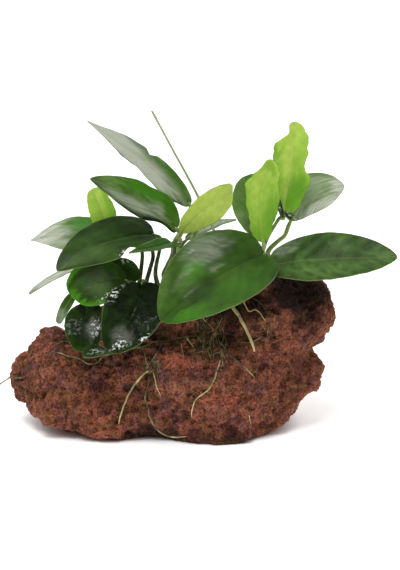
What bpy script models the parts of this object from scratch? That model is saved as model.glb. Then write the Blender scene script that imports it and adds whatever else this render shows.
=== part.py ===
"""Anubias growing on a lava stone: a creeping rhizome, its leaves on their stalks and its clinging roots.

Metres, +Z up. The origin is the middle of the flat underside that the stone rests on. The front is -Y, and
+X is to the right of the front view. Lengths here are millimetres until MM turns them into metres.
"""

import math
from dataclasses import dataclass

import bmesh
import bpy
from mathutils import Matrix, Vector
from mathutils.bvhtree import BVHTree
from mathutils.geometry import interpolate_bezier

MM = 0.001

# Driving dimensions
STONE_LENGTH = 150.0
STONE_DEPTH = 86.0
STONE_HEIGHT = 70.0
RHIZOME_RADIUS = 3.3
BLADE_THICKNESS = 0.7
GAP = 0.35

UP = Vector((0, 0, 1))
DOWN = Vector((0, 0, -1))
BACKWARDS = Vector((0, 1, 0))


def millimetres(*values):
    return Vector(values) * MM


def collection(name):
    made = bpy.data.collections.new(name)
    bpy.context.scene.collection.children.link(made)
    return made


def material(name, colour, roughness):
    """A plain Principled finish with the piece's colour (linear) and roughness."""
    made = bpy.data.materials.new(name)
    made.use_nodes = True
    shader = made.node_tree.nodes["Principled BSDF"]
    shader.inputs["Base Color"].default_value = (*colour, 1.0)
    shader.inputs["Roughness"].default_value = roughness
    shader.inputs["Metallic"].default_value = 0.0
    return made


def mesh_object(name, shape, where, finish=None):
    """An object made from a bmesh, which is freed."""
    mesh = bpy.data.meshes.new(name)
    shape.to_mesh(mesh)
    shape.free()
    made = bpy.data.objects.new(name, mesh)
    if finish:
        mesh.materials.append(finish)
        mesh.shade_smooth()
    where.objects.link(made)
    return made


def settled(obj, where):
    """The object with its modifiers applied, as a new plain mesh object of the same name."""
    mesh = bpy.data.meshes.new_from_object(obj.evaluated_get(bpy.context.evaluated_depsgraph_get()))
    name = obj.name
    bpy.data.objects.remove(obj)
    made = bpy.data.objects.new(name, mesh)
    where.objects.link(made)
    return made


def joined_surface(objects):
    """One search tree over the finished shapes of the objects."""
    graph = bpy.context.evaluated_depsgraph_get()
    together = bmesh.new()
    for obj in objects:
        mesh = bpy.data.meshes.new_from_object(obj.evaluated_get(graph))
        together.from_mesh(mesh)
        bpy.data.meshes.remove(mesh)
    bmesh.ops.triangulate(together, faces=together.faces)
    tree = BVHTree.FromBMesh(together)
    together.free()
    return tree


# --------------------------------------------------------------------------------- routes and tubes


def smooth_route(points, step):
    """Points about a step apart on a smooth curve through the given ones."""
    ends = [points[0] * 2 - points[1], *points, points[-1] * 2 - points[-2]]
    route = []
    for before, start, end, after in zip(ends, ends[1:], ends[2:], ends[3:]):
        count = max(2, round((end - start).length / (step * MM)) + 1)
        leaving = start + (end - before) / 6
        arriving = end - (after - start) / 6
        route += interpolate_bezier(start, leaving, arriving, end, count)[:-1]
    return [*route, points[-1]]


def averaged(points):
    """The route with each inner point drawn halfway to the middle of its neighbours."""
    inner = [(a + b * 2 + c) / 4 for a, b, c in zip(points, points[1:], points[2:])]
    return [points[0], *inner, points[-1]]


def tapered(start, end, count):
    return [start + (end - start) * index / (count - 1) for index in range(count)]


def tube(name, route, radii, finish, parts, roundness=1):
    """A capped tube along a route, with a radius at each point. Roundness is the bevel's resolution."""
    curve = bpy.data.curves.new(name, "CURVE")
    curve.dimensions = "3D"
    curve.bevel_depth = MM
    curve.bevel_resolution = roundness
    curve.use_fill_caps = True
    spline = curve.splines.new("POLY")
    spline.points.add(len(route) - 1)
    for point, place, radius in zip(spline.points, route, radii):
        point.co = (*place, 1.0)
        point.radius = radius
    curve.materials.append(finish)
    made = bpy.data.objects.new(name, curve)
    parts.objects.link(made)
    return made


# ---------------------------------------------------------------------------------------- the stone


@dataclass
class Lump:
    """An ellipsoid of the stone's body, as shares of the stone's length, depth and height."""

    name: str
    centre: tuple
    radius: tuple


STONE_LUMPS = [
    Lump("body", (0.00, 0.02, 0.34), (0.37, 0.43, 0.42)),
    Lump("left wing", (-0.32, -0.03, 0.27), (0.20, 0.32, 0.25)),
    Lump("left shoulder", (-0.375, 0.00, 0.40), (0.105, 0.24, 0.19)),
    Lump("left tip", (-0.452, -0.04, 0.30), (0.062, 0.15, 0.10)),
    Lump("left foot", (-0.31, -0.16, 0.16), (0.15, 0.26, 0.20)),
    Lump("right mass", (0.26, 0.03, 0.56), (0.165, 0.38, 0.43)),
    Lump("right horn", (0.37, 0.05, 0.75), (0.10, 0.22, 0.21)),
    Lump("right foot", (0.31, -0.04, 0.32), (0.13, 0.30, 0.17)),
    Lump("right toe", (0.18, -0.16, 0.19), (0.18, 0.28, 0.20)),
    Lump("front belly", (0.09, -0.26, 0.30), (0.25, 0.24, 0.32)),
    Lump("front sill", (-0.05, -0.20, 0.10), (0.36, 0.29, 0.22)),
    Lump("crest", (0.09, 0.02, 0.66), (0.24, 0.26, 0.24)),
    Lump("saddle", (-0.16, 0.00, 0.50), (0.20, 0.26, 0.26)),
    Lump("back", (-0.06, 0.28, 0.36), (0.30, 0.22, 0.34)),
]
STONE_VOXEL = 2.4
STONE_TRIANGLES = 2500
BUMP_SIZE = 16.0
BUMP_HEIGHT = 8.0
PIT_SPACING = 9.0
PIT_DEPTH = 3.4
PIT_LEVEL = 0.55  # the part of the pit texture that stays in place
GROUND_DEPTH = 20.0


def placed(centre, size):
    """The matrix that stretches a unit shape to its size and sets it at its centre."""
    return Matrix.Translation(centre) @ Matrix.Diagonal((*size, 1))


def displaced(obj, kind, size, height, level=0.5):
    """Move the surface in and out by a texture of the given grain size."""
    texture = bpy.data.textures.new(f"stone_{kind.lower()}", kind)
    texture.noise_scale = size * MM
    wear = obj.modifiers.new(texture.name, "DISPLACE")
    wear.texture = texture
    wear.texture_coords = "GLOBAL"
    wear.strength = height * MM
    wear.mid_level = level


def ground_cutter(cutters):
    """A slab below the resting face, wider than the stone."""
    reach = Vector((2 * STONE_LENGTH, 2 * STONE_DEPTH, GROUND_DEPTH)) * MM
    slab = bmesh.new()
    bmesh.ops.create_cube(slab, size=1.0, matrix=placed(DOWN * reach.z / 2, reach))
    cutter = mesh_object("ground_cutter", slab, cutters)
    cutter.hide_render = True
    cutter.display_type = "WIRE"
    return cutter


def lava_stone(parts, cutters):
    """Overlapping lumps fused in one body, broken up by bumps and pits, and cut flat underneath."""
    lumps = bmesh.new()
    size = Vector((STONE_LENGTH, STONE_DEPTH, STONE_HEIGHT)) * MM
    for lump in STONE_LUMPS:
        place = placed(Vector(lump.centre) * size, Vector(lump.radius) * size)
        bmesh.ops.create_icosphere(lumps, subdivisions=4, radius=1.0, matrix=place)
    rough = mesh_object("lava_stone", lumps, parts, material("lava", (0.13, 0.05, 0.033), 0.9))

    fuse = rough.modifiers.new("fuse", "REMESH")
    fuse.mode = "VOXEL"
    fuse.voxel_size = STONE_VOXEL * MM
    displaced(rough, "CLOUDS", BUMP_SIZE, BUMP_HEIGHT)
    displaced(rough, "VORONOI", PIT_SPACING, PIT_DEPTH, PIT_LEVEL)

    fine = settled(rough, parts)
    thin = fine.modifiers.new("thin", "DECIMATE")
    thin.ratio = STONE_TRIANGLES / sum(len(face.vertices) - 2 for face in fine.data.polygons)
    cut = fine.modifiers.new("cut", "BOOLEAN")
    cut.operation = "DIFFERENCE"
    cut.object = ground_cutter(cutters)
    return settled(fine, parts)


# -------------------------------------------------------------------------------------- the rhizome

# Where the rhizome creeps over the stone, seen from above (x, y)
RHIZOME_ROUTE = [(-24, -7), (-12, -6), (4, -3), (20, -1), (34, 0), (43, 1)]
RHIZOME_STEP = 4.0
RHIZOME_BED = 0.8  # the share of its radius over which the rhizome feels the stone beneath it


def height_under(point, surface):
    """The highest spot of the surface under a disc round the point."""
    above = point + UP * 2 * STONE_HEIGHT * MM
    reach = RHIZOME_BED * RHIZOME_RADIUS * MM
    heights = []
    for across in (-reach, 0, reach):
        for along in (-reach, 0, reach):
            hit = surface.ray_cast(above + Vector((along, across, 0)), DOWN)[0]
            heights.append(hit.z)
    return max(heights)


def rhizome_route(surface):
    """The rhizome's axis, which lies on the stone along its whole length."""
    route = smooth_route([millimetres(x, y, 0) for x, y in RHIZOME_ROUTE], RHIZOME_STEP)
    for point in route:
        point.z = height_under(point, surface) + (RHIZOME_RADIUS + GAP) * MM
    return averaged(route)


# --------------------------------------------------------------------------------------- the leaves


@dataclass
class Leaf:
    """A blade and its stalk. The base is where the blade meets the stalk."""

    name: str
    base: tuple
    tip: tuple
    width: float
    face: tuple  # the way that the upper side looks
    root: tuple  # where the stalk starts: share of the rhizome's length, degrees from its top to its front
    arch: float = 2.0  # how far the midrib's middle stands above its chord
    sweep: float = 0.0  # how far the midrib's middle lies to the side of its chord
    fold: float = 10.0  # degrees that each half rises
    twist: float = 0.0  # degrees that the blade turns from base to tip
    wave: float = 0.0  # height of the margin's waves
    waves: float = 3.0  # waves along the margin
    full: float = 0.80  # under 1, the blade is widest nearer its base
    blunt: float = 0.85  # under 1, the tip is rounded
    lobes: float = 2.0  # how far the base's lobes reach back
    dents: tuple = ()  # side (-1 or 1), place along the margin and depth of each dent in the outline
    stalk: float = 0.75  # radius of the stalk
    via: tuple = ()  # places that the stalk passes on its way, instead of one smooth bend
    young: bool = False  # a new leaf, pale and soft


LEAVES = [
    Leaf("front_broad", (38, -13, 80.5), (-8, -42, 56.5), 41, (-0.1, -0.75, 0.6), (0.80, 70),
         arch=6, sweep=0.5, fold=14, blunt=0.6, lobes=6),
    Leaf("right_long", (41, -12, 75.5), (97, -20, 80.5), 29, (0.0, -0.6, 0.8), (0.97, 60),
         arch=1.5, fold=8, blunt=0.6, lobes=4),
    Leaf("right_back", (51, 9, 92), (77, 24, 106), 22, (-0.2, -0.8, 0.6), (0.97, -35),
         sweep=-4.6, fold=8, full=1.05, blunt=0.65, lobes=0.5, stalk=0.85,
         via=((41.5, 4.2, 80), (45.1, 5.5, 83.1), (48, 7, 85.2), (49.4, 8, 88))),
    Leaf("centre_back", (35, 9, 84.5), (33, 24, 111.5), 21.5, (-0.1, -0.8, 0.4), (0.86, -40),
         arch=-2, sweep=0.7, full=1.2, blunt=0.35),
    Leaf("young_short", (37.8, -4, 84.6), (41.8, 1, 121.4), 17.2, (0.0, -1.0, 0.1), (0.90, 25),
         arch=1, sweep=-3.2, wave=0.8, full=1.1, blunt=0.45,
         dents=((-1, 0.26, 0.26), (-1, 0.44, 0.2), (-1, 0.88, 0.42), (1, 0.75, 0.12)), young=True),
    Leaf("young_tall", (47.7, 4, 96.7), (52.5, 8, 137.8), 21, (0.1, -1.0, 0.1), (0.93, -5),
         arch=1, wave=1.6, full=0.96, blunt=0.46,
         dents=((-1, 0.21, 0.52), (-1, 0.48, 0.36), (-1, 0.85, 0.66), (1, 0.55, 0.34), (1, 0.73, 0.2)),
         via=((39.3, 1, 84), (41.1, 1.5, 87.6), (43.4, 2, 91.2), (45.6, 2.5, 94.4)), young=True),
    Leaf("young_centre", (0.3, -8, 89.4), (23.7, -1, 107), 17.5, (0.4, -1.0, -0.4), (0.36, 40),
         arch=3, sweep=-4.2, full=1.2, blunt=0.3, via=((-1.0, -4.8, 78), (-0.8, -5.6, 82.6), (0.2, -7.4, 86)),
         young=True),
    Leaf("upper_left", (4.1, 8, 99.6), (-43.2, 20, 137), 18.4, (0.7, -0.6, 0.7), (0.40, -10),
         arch=3, sweep=-1, twist=20, wave=-0.2, full=0.9, blunt=1.0, dents=((1, 0.51, 0.33),), stalk=0.9),
    Leaf("left_upper", (-1.8, -1, 89.8), (-40.1, -12, 114.7), 20, (0.2, -0.7, 0.7), (0.28, -8),
         arch=3, sweep=0, fold=14, full=0.72, blunt=0.7, stalk=1.15,
         via=((-3.4, -1.5, 77.9), (-2.7, -1, 83.4))),
    Leaf("small_yellow", (-33, 6, 85), (-40.5, 10, 106.8), 12.2, (0.1, -1.0, 0.1), (0.17, 10),
         arch=1, sweep=0.7, full=0.9, blunt=0.3, via=((-12.5, -2, 78), (-15, 2, 83), (-26, 5, 82)), young=True),
    Leaf("left_dark", (-11.8, -4, 87.5), (-54.5, -25, 75.4), 30, (-0.2, -0.6, 0.8), (0.22, 0),
         arch=4, sweep=2.3, fold=3, full=0.61, blunt=0.64, dents=((-1, 0.30, 0.5),)),
    Leaf("left_far", (-30, 17, 80), (-71, 22, 80.5), 23, (-0.1, -0.6, 0.8), (0.12, -30),
         arch=2.5, sweep=1.2, full=0.74, blunt=1.0, via=((-17.5, 0, 77), (-20, 9, 81))),
    Leaf("left_low", (-37, 6, 73), (-70.7, 6, 57.9), 6.5, (-0.3, -0.3, 0.8), (0.03, -75),
         arch=0.5, sweep=4.2, full=1.3, blunt=0.5),
    Leaf("small_flat", (-3.6, -11, 85.2), (-22.3, -28, 83.9), 12.4, (0.1, -0.18, 1.0), (0.32, 70),
         arch=0.5, sweep=-1.3, full=0.45, blunt=0.8, via=((-2.8, -8.4, 75), (-2.6, -9.2, 82))),
    Leaf("left_round", (-23.9, -17, 69), (-47.3, -27.2, 63.6), 21.4, (-0.3, -0.9, 0.27), (0.08, 40),
         arch=3, sweep=2.8, full=1.3, blunt=0.32),
    Leaf("low_left", (-41.8, -22, 59.7), (-40.7, -38.4, 41.9), 18.2, (-0.2, -0.8, 0.5), (0.02, 60),
         arch=3, full=0.94, blunt=0.3),
    Leaf("low_middle", (-16.8, -23, 69.1), (-31.2, -44, 43.7), 27.6, (-0.1, -0.8, 0.5), (0.15, 80),
         arch=3, sweep=-3.6, full=0.8, blunt=0.48, lobes=1),
    Leaf("low_small", (-32.4, -40.4, 42.9), (-41.3, -48.8, 42.2), 9.8, (-0.1, -0.5, 0.9), (0.05, 85),
         arch=1, sweep=-0.6, full=0.88, blunt=0.31),
    Leaf("shaded", (-21, -6.5, 66), (-36, -9.5, 76.5), 17, (-0.2, -0.8, 0.2), (0.05, 12), arch=3),
    Leaf("drooping", (-48.3, -7, 61), (-55.8, -10, 47.8), 5.2, (-0.3, -0.8, 0.2), (0.02, -30), arch=0.5,
         sweep=0.5, full=0.7, blunt=0.35, via=((-30, -2, 66), (-40, -4.5, 67))),
    Leaf("behind_centre", (3, 10, 83), (26, 18, 91), 13, (-0.1, -0.1, 1.0), (0.40, -60), arch=1),
]
BLADE_ACROSS = 4
BLADE_ALONG = 8
BASE_NECK = 0.9  # half width of the blade where it meets its stalk
TIP_NECK = 0.3
BASE_ROUNDNESS = 0.5
DENT_REACH = 0.12
LOBE_REACH = 0.25
LEFT_PHASE = 2.6
RIGHT_PHASE = 0.8


def squared(direction, axis):
    """The direction at right angles to the axis."""
    return (direction - direction.dot(axis) * axis).normalized()


def outline(leaf, across, along):
    """The half width of the blade on one side, as a share of its greatest."""
    sharpness = BASE_ROUNDNESS + (leaf.blunt - BASE_ROUNDNESS) * along
    share = math.sin(math.pi * along ** leaf.full) ** sharpness
    for side, place, depth in leaf.dents:
        if across * side > 0:
            share *= 1 - depth * math.exp(-((along - place) / DENT_REACH) ** 2)
    return share


def midrib(leaf, along):
    """The midrib's place and direction, the blade's side and the way that it looks there."""
    base, tip = millimetres(*leaf.base), millimetres(*leaf.tip)
    chord = (tip - base).normalized()
    face = squared(Vector(leaf.face), chord)
    pull = (base + tip) / 2 + (face * leaf.arch + chord.cross(face) * leaf.sweep) * 2 * MM
    place = base * (1 - along) ** 2 + pull * 2 * along * (1 - along) + tip * along ** 2
    heading = ((pull - base) * (1 - along) + (tip - pull) * along).normalized()
    up = squared(face, heading)
    up.rotate(Matrix.Rotation(math.radians(leaf.twist) * (along - 0.5), 3, heading))
    return place, heading, heading.cross(up), up


def blade_point(leaf, across, along):
    """A point of the blade's middle surface. Across runs from -1 to 1, and along from 0 at the base to 1."""
    place, heading, side, up = midrib(leaf, along)
    share = outline(leaf, across, along)
    out = across * max(leaf.width / 2 * share, BASE_NECK if along < 0.5 else TIP_NECK)
    fold = math.radians(leaf.fold)
    phase = RIGHT_PHASE if across > 0 else LEFT_PHASE
    ripple = leaf.wave * share * across ** 2 * math.sin(2 * math.pi * leaf.waves * along + phase)
    back = leaf.lobes * share * across ** 2 * max(0, 1 - along / LOBE_REACH) ** 2
    shift = side * out * math.cos(fold) + up * (abs(out) * math.sin(fold) + ripple) - heading * back
    return place + shift * MM


def leaf_blade(leaf, finish, parts):
    """A grid bent to the blade's surface and given its thickness."""
    grid = bmesh.new()
    bmesh.ops.create_grid(grid, x_segments=BLADE_ACROSS, y_segments=BLADE_ALONG, size=1.0)
    for vertex in grid.verts:
        along = (1 - math.cos(math.pi * (vertex.co.y + 1) / 2)) / 2
        vertex.co = blade_point(leaf, vertex.co.x, along)
    blade = mesh_object(f"leaf_{leaf.name}", grid, parts, finish)
    wall = blade.modifiers.new("thickness", "SOLIDIFY")
    wall.thickness = BLADE_THICKNESS * MM
    wall.offset = 0.0


STALK_POINTS = 7
STALK_STEP = 6.0
STALK_RUN = 2.5  # how far a guided stalk runs straight at its ends
STALK_FOOT = 1.35  # the foot's radius over the radius at the blade
STALK_RISE = 0.4  # how strongly a stalk keeps its first direction, as a share of its length
STALK_REACH = 0.35  # how strongly it turns into line with the midrib


def stalk_start(root, route):
    """Where a stalk leaves the rhizome's skin, and the way that it sets off."""
    share, degrees = root
    spot = share * (len(route) - 1)
    index = min(int(spot), len(route) - 2)
    ahead = (route[index + 1] - route[index]).normalized()
    centre = route[index].lerp(route[index + 1], spot - index)
    out = squared(UP, ahead)
    out.rotate(Matrix.Rotation(math.radians(degrees), 3, ahead))
    return centre + out * (RHIZOME_RADIUS + GAP) * MM, out


def leaf_stalk(leaf, route, finish, parts):
    """A round stalk that leaves the rhizome, bends, and meets its blade in line with the midrib."""
    start, out = stalk_start(leaf.root, route)
    base, heading, _, _ = midrib(leaf, 0.0)
    end = base - heading * GAP * MM
    if leaf.via:
        leaving = start + out * STALK_RUN * MM
        arriving = end - heading * STALK_RUN * MM
        guides = [millimetres(*point) for point in leaf.via]
        points = smooth_route([start, leaving, *guides, arriving, end], STALK_STEP)
    else:
        span = (end - start).length
        leaving = start + out * span * STALK_RISE
        arriving = end - heading * span * STALK_REACH
        points = interpolate_bezier(start, leaving, arriving, end, STALK_POINTS)
    radii = tapered(leaf.stalk * STALK_FOOT, leaf.stalk, len(points))
    tube(f"stalk_{leaf.name}", points, radii, finish, parts)


# A thin bare stalk, which has no blade, leans far to the left. It starts on the rhizome like the others.
BARE_STALK_ROOT = (0.68, -20)
BARE_STALK_ROUTE = [(17, 4, 84), (8, 6.5, 104), (-3, 7.6, 124.3), (-13, 8, 143)]
BARE_STALK_RADII = (0.5, 0.35)
BARE_STALK_STEP = 12.0


def bare_stalk(route, finish, parts):
    start, _ = stalk_start(BARE_STALK_ROOT, route)
    points = smooth_route([start, *[millimetres(*point) for point in BARE_STALK_ROUTE]], BARE_STALK_STEP)
    tube("stalk_bare", points, tapered(*BARE_STALK_RADII, len(points)), finish, parts)


# ---------------------------------------------------------------------------------------- the roots


@dataclass
class Root:
    """A root that clings to the stone's front, by its places seen from the front (x, z)."""

    name: str
    radius: float
    route: list
    free: tuple = ()  # places (x, y, z) where it goes on past the front


ROOTS = [
    Root("thick", 0.9, [(22, 60), (24, 56), (29, 52), (32, 44), (33, 40)]),
    Root("forked", 0.4, [(29, 59), (31, 54), (33, 57), (36, 56), (38, 53)]),
    Root("bowed_right", 0.4, [(32, 62), (36, 60), (39, 55), (40, 50), (39, 46)]),
    Root("tangled", 0.5, [(6, 55), (8, 50), (10, 46), (11, 43)]),
    Root("slanting", 0.45, [(21, 40), (26, 36), (29, 34), (33, 30)]),
    Root("hooked", 0.4, [(18, 38), (16, 33), (15, 29), (13, 26), (9, 23), (6, 21), (5, 13)]),
    Root("upright", 0.45, [(12, 54), (12, 47), (13, 42), (14, 37)]),
    Root("level_right", 0.45, [(20, 43), (25, 42), (29, 43), (33, 44), (38, 46)]),
    Root("long_left", 0.5, [(7, 45), (-5, 42.5), (-14, 41.5), (-25, 38), (-31, 37), (-36, 33), (-43, 31),
                            (-45, 34), (-57, 36)]),
    Root("short_left", 0.4, [(-20, 44), (-17, 41), (-15, 37), (-14, 33)]),
    Root("pale_left", 0.6, [(-14, 31), (-19, 27), (-22, 21), (-25, 15), (-27, 9)]),
    Root("olive_middle", 0.45, [(-13, 29), (-15, 24), (-15, 19), (-13, 11), (-10, 7), (-4, 5), (1, 4)]),
    Root("pale_middle", 0.35, [(-11.5, 31), (-10, 28), (-8, 22)]),
    Root("trailing", 0.5, [(-71, 24)],
         ((-79.3, -8, 21.5), (-83, -12, 19.2), (-86, -14, 17.6), (-89, -16, 16.5))),
]
ROOT_STEP = 3.4
ROOT_TIP = 0.6  # the tip's radius over the radius at the start
SMOOTHING_ROUNDS = 2
SETTLING_ROUNDS = 20
FEELERS = (0.25, 0.5, 0.75)  # where the route feels for the surface between two of its points


def pushed_clear(point, surface, clearance):
    """The point, moved out of the surface until it is the clearance away."""
    near, normal, _, _ = surface.find_nearest(point)
    away = point - near
    outside = away.dot(normal) > 0
    if outside and away.length >= clearance:
        return point
    out = away.normalized() if outside and away.length > clearance / 10 else normal
    return near + out * clearance


def settled_route(points, surface, clearance):
    """The route, smoothed a little and pushed clear of the surface at its points and between them."""
    for _ in range(SMOOTHING_ROUNDS):
        points = averaged(points)
    for _ in range(SETTLING_ROUNDS):
        points = [pushed_clear(point, surface, clearance) for point in points]
        for index in range(len(points) - 1):
            for share in FEELERS:
                between = points[index].lerp(points[index + 1], share)
                shift = pushed_clear(between, surface, clearance) - between
                points[index] = points[index] + shift
                points[index + 1] = points[index + 1] + shift
    return points


def clinging_root(root, surface, finish, parts):
    """A root dropped on the surface from the front and laid along it."""
    places = []
    for x, z in root.route:
        places.append(surface.ray_cast(millimetres(x, -2 * STONE_DEPTH, z), BACKWARDS)[0])
    places += [millimetres(*point) for point in root.free]
    points = settled_route(smooth_route(places, ROOT_STEP), surface, (root.radius + GAP) * MM)
    radii = tapered(root.radius, root.radius * ROOT_TIP, len(points))
    return tube(f"root_{root.name}", points, radii, finish, parts)


# ---------------------------------------------------------------------------------------- the whole


def build():
    for old in list(bpy.data.objects):
        bpy.data.objects.remove(old, do_unlink=True)
    parts = collection("anubias_on_stone")
    cutters = collection("cutters")
    green = material("leaf_green", (0.04, 0.11, 0.03), 0.35)
    fresh = material("young_leaf_green", (0.25, 0.45, 0.06), 0.4)
    stem = material("stalk_green", (0.10, 0.18, 0.05), 0.45)
    woody = material("rhizome_skin", (0.09, 0.11, 0.05), 0.6)
    pale = material("root_skin", (0.30, 0.26, 0.11), 0.6)

    stone = lava_stone(parts, cutters)
    route = rhizome_route(joined_surface([stone]))
    rhizome = tube("rhizome", route, [RHIZOME_RADIUS] * len(route), woody, parts, roundness=2)
    for leaf in LEAVES:
        leaf_blade(leaf, fresh if leaf.young else green, parts)
        leaf_stalk(leaf, route, stem, parts)
    bare_stalk(route, stem, parts)

    laid = [stone, rhizome]
    for root in ROOTS:
        laid.append(clinging_root(root, joined_surface(laid), pale, parts))


build()
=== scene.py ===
"""The looks of an anubias that grows on a lava stone.

The packed model is loaded as the frame. Every piece here stands for one of its nodes, or is a small one
beside them. Lengths are millimetres until MM turns them into metres. The front is -Y and +Z is up.
"""

import math
import random
from dataclasses import dataclass

import bmesh
import bpy
from bpy.props import FloatProperty, FloatVectorProperty, PointerProperty
from mathutils import Matrix, Vector, noise
from mathutils.bvhtree import BVHTree
from mathutils.geometry import interpolate_bezier
from mathutils.kdtree import KDTree


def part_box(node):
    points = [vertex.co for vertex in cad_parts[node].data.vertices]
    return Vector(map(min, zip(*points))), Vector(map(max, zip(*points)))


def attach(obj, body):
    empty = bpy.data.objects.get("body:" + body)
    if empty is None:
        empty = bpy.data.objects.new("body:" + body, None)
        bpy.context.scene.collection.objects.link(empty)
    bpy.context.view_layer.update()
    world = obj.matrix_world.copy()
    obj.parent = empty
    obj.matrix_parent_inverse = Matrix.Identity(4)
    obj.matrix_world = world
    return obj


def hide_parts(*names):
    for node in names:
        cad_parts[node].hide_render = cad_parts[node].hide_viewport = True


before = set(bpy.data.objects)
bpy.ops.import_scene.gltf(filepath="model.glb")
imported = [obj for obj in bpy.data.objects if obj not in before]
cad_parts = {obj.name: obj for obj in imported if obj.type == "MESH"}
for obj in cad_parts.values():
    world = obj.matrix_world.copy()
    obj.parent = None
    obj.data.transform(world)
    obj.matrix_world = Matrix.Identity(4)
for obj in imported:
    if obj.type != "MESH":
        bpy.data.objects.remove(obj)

bl_info = {
    "name": "Anubias on stone",
    "version": (1, 0, 0),
    "blender": (4, 5, 0),
    "location": "3D View > Sidebar > Anubias",
    "description": "Builds an anubias with its rhizome and roots on a lava stone",
    "category": "Object",
}

MM = 0.001
BACKWARDS = Vector((0, 1, 0))
NOISE_SEED = 3  # the vector noise is another one in each run without a seed
MERGE = 0.001 * MM  # corners of a CAD mesh that are closer than this are one
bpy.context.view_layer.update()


# ---------------------------------------------------------------------------------------------- small helpers


def linear(code):
    """The linear colour, with alpha, of an sRGB hex code."""
    values = [int(code[index:index + 2], 16) / 255 for index in (1, 3, 5)]
    return (*[v / 12.92 if v <= 0.04045 else ((v + 0.055) / 1.055) ** 2.4 for v in values], 1.0)


def millimetres(*values):
    """A place or a direction in metres."""
    return Vector(values) * MM


def smooth_step(low, high, value):
    """A share that rises smoothly from 0 at the low value to 1 at the high one."""
    share = min(max((value - low) / (high - low), 0.0), 1.0)
    return share * share * (3 - 2 * share)


def wire(tree, kind, inputs=None, output=0, **settings):
    """Add a shader node with its settings, values and links, and return one of its outputs."""
    made = tree.nodes.new(f"ShaderNode{kind}")
    for name, value in settings.items():
        setattr(made, name, value)
    feed(tree, made, inputs or {})
    return made.outputs[output]


def feed(tree, node, inputs):
    """Set or link a node's inputs."""
    for name, value in inputs.items():
        if isinstance(value, bpy.types.NodeSocket):
            tree.links.new(value, node.inputs[name])
        else:
            node.inputs[name].default_value = value


def new_material(name):
    """A material, its node tree and its shader."""
    made = bpy.data.materials.new(name)
    made.use_nodes = True
    return made, made.node_tree, made.node_tree.nodes["Principled BSDF"]


def colour_property(name, description, code):
    return FloatVectorProperty(name=name, description=description, subtype="COLOR", size=4, min=0, max=1,
                               default=linear(code))


def length_property(name, description, default):
    return FloatProperty(name=name, description=description, unit="LENGTH", default=default * MM, min=0,
                         precision=5)


def finished(name, shape, finish, nodes=()):
    """A bmesh as a piece that rides on the body, with its finish and the nodes that it stands for."""
    mesh = bpy.data.meshes.new(name)
    shape.to_mesh(mesh)
    shape.free()
    mesh.materials.append(finish)
    mesh.shade_smooth()
    made = bpy.data.objects.new(name, mesh)
    bpy.context.scene.collection.objects.link(made)
    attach(made, "root")
    if nodes:
        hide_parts(*nodes)
    return made


def surface_of(obj):
    """A search tree over the finished shape of an object."""
    mesh = bpy.data.meshes.new_from_object(obj.evaluated_get(bpy.context.evaluated_depsgraph_get()))
    shape = bmesh.new()
    shape.from_mesh(mesh)
    bpy.data.meshes.remove(mesh)
    tree = BVHTree.FromBMesh(shape)
    shape.free()
    return tree


def toned(tree, tone, drift, colours, spread, middle, end=1.0):
    """Three colours, dark to pale, mixed by a tone that drifts a little from place to place."""
    dark, half, pale = colours
    shift = wire(tree, "MapRange",
                 {"Value": drift, "From Min": 0.35, "From Max": 0.65, "To Min": -spread, "To Max": spread})
    mix = wire(tree, "Math", {0: tone, 1: shift}, operation="ADD", use_clamp=True)
    low = wire(tree, "MapRange", {"Value": mix, "From Max": middle})
    high = wire(tree, "MapRange", {"Value": mix, "From Min": middle, "From Max": end})
    skin = dark
    for share, colour in ((low, half), (high, pale)):
        skin = wire(tree, "Mix", {"Factor": share, "A": skin, "B": colour}, "Result", data_type="RGBA")
    return skin


# ------------------------------------------------------------------------------------------- routes and tubes


FLAT = 0.001  # the angle in radians under which two faces are one
ROUTE_STEP = 0.8  # between the rings of a stalk or a root


def smooth_route(points, step):
    """Points about a step apart on a smooth curve through the given ones."""
    ends = [points[0] * 2 - points[1], *points, points[-1] * 2 - points[-2]]
    route = []
    for before, start, end, after in zip(ends, ends[1:], ends[2:], ends[3:]):
        count = max(2, round((end - start).length / (step * MM)) + 1)
        leaving = start + (end - before) / 6
        arriving = end - (after - start) / 6
        route += interpolate_bezier(start, leaving, arriving, end, count)[:-1]
    return [*route, points[-1]]


def ring_frames(route):
    """A matrix at each point of the route whose Z runs along it, without twist."""
    heading = (route[1] - route[0]).normalized()
    turn = heading.to_track_quat("Z", "Y")
    frames = []
    for index, point in enumerate(route):
        ahead = (route[min(index + 1, len(route) - 1)] - route[max(index - 1, 0)]).normalized()
        turn = heading.rotation_difference(ahead) @ turn
        heading = ahead
        frames.append(Matrix.Translation(point) @ turn.to_matrix().to_4x4())
    return frames


def tube(route, radii, sides, shape=None):
    """A closed tube, a circle extruded from point to point, alone or beside others in a given shape.

    Its verts hold how far along they are.
    """
    shape = shape or bmesh.new()
    along = shape.verts.layers.float.get("along") or shape.verts.layers.float.new("along")
    frames = ring_frames(route)
    sized = [place @ Matrix.Scale(radius * MM, 4) for place, radius in zip(frames, radii)]
    ring = bmesh.ops.create_circle(shape, cap_ends=True, segments=sides, radius=1, matrix=sized[0])["verts"]
    for index in range(1, len(route)):
        edges = {edge for vert in ring for edge in vert.link_edges if all(v in ring for v in edge.verts)}
        grown = bmesh.ops.extrude_edge_only(shape, edges=list(edges))["geom"]
        ring = [item for item in grown if isinstance(item, bmesh.types.BMVert)]
        shift = sized[index] @ sized[index - 1].inverted()
        bmesh.ops.transform(shape, matrix=shift, verts=ring)
        for vert in ring:
            vert[along] = index / (len(route) - 1)
    bmesh.ops.contextual_create(shape, geom=[e for e in shape.edges if e.is_boundary])
    bmesh.ops.recalc_face_normals(shape, faces=shape.faces)
    return shape


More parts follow.
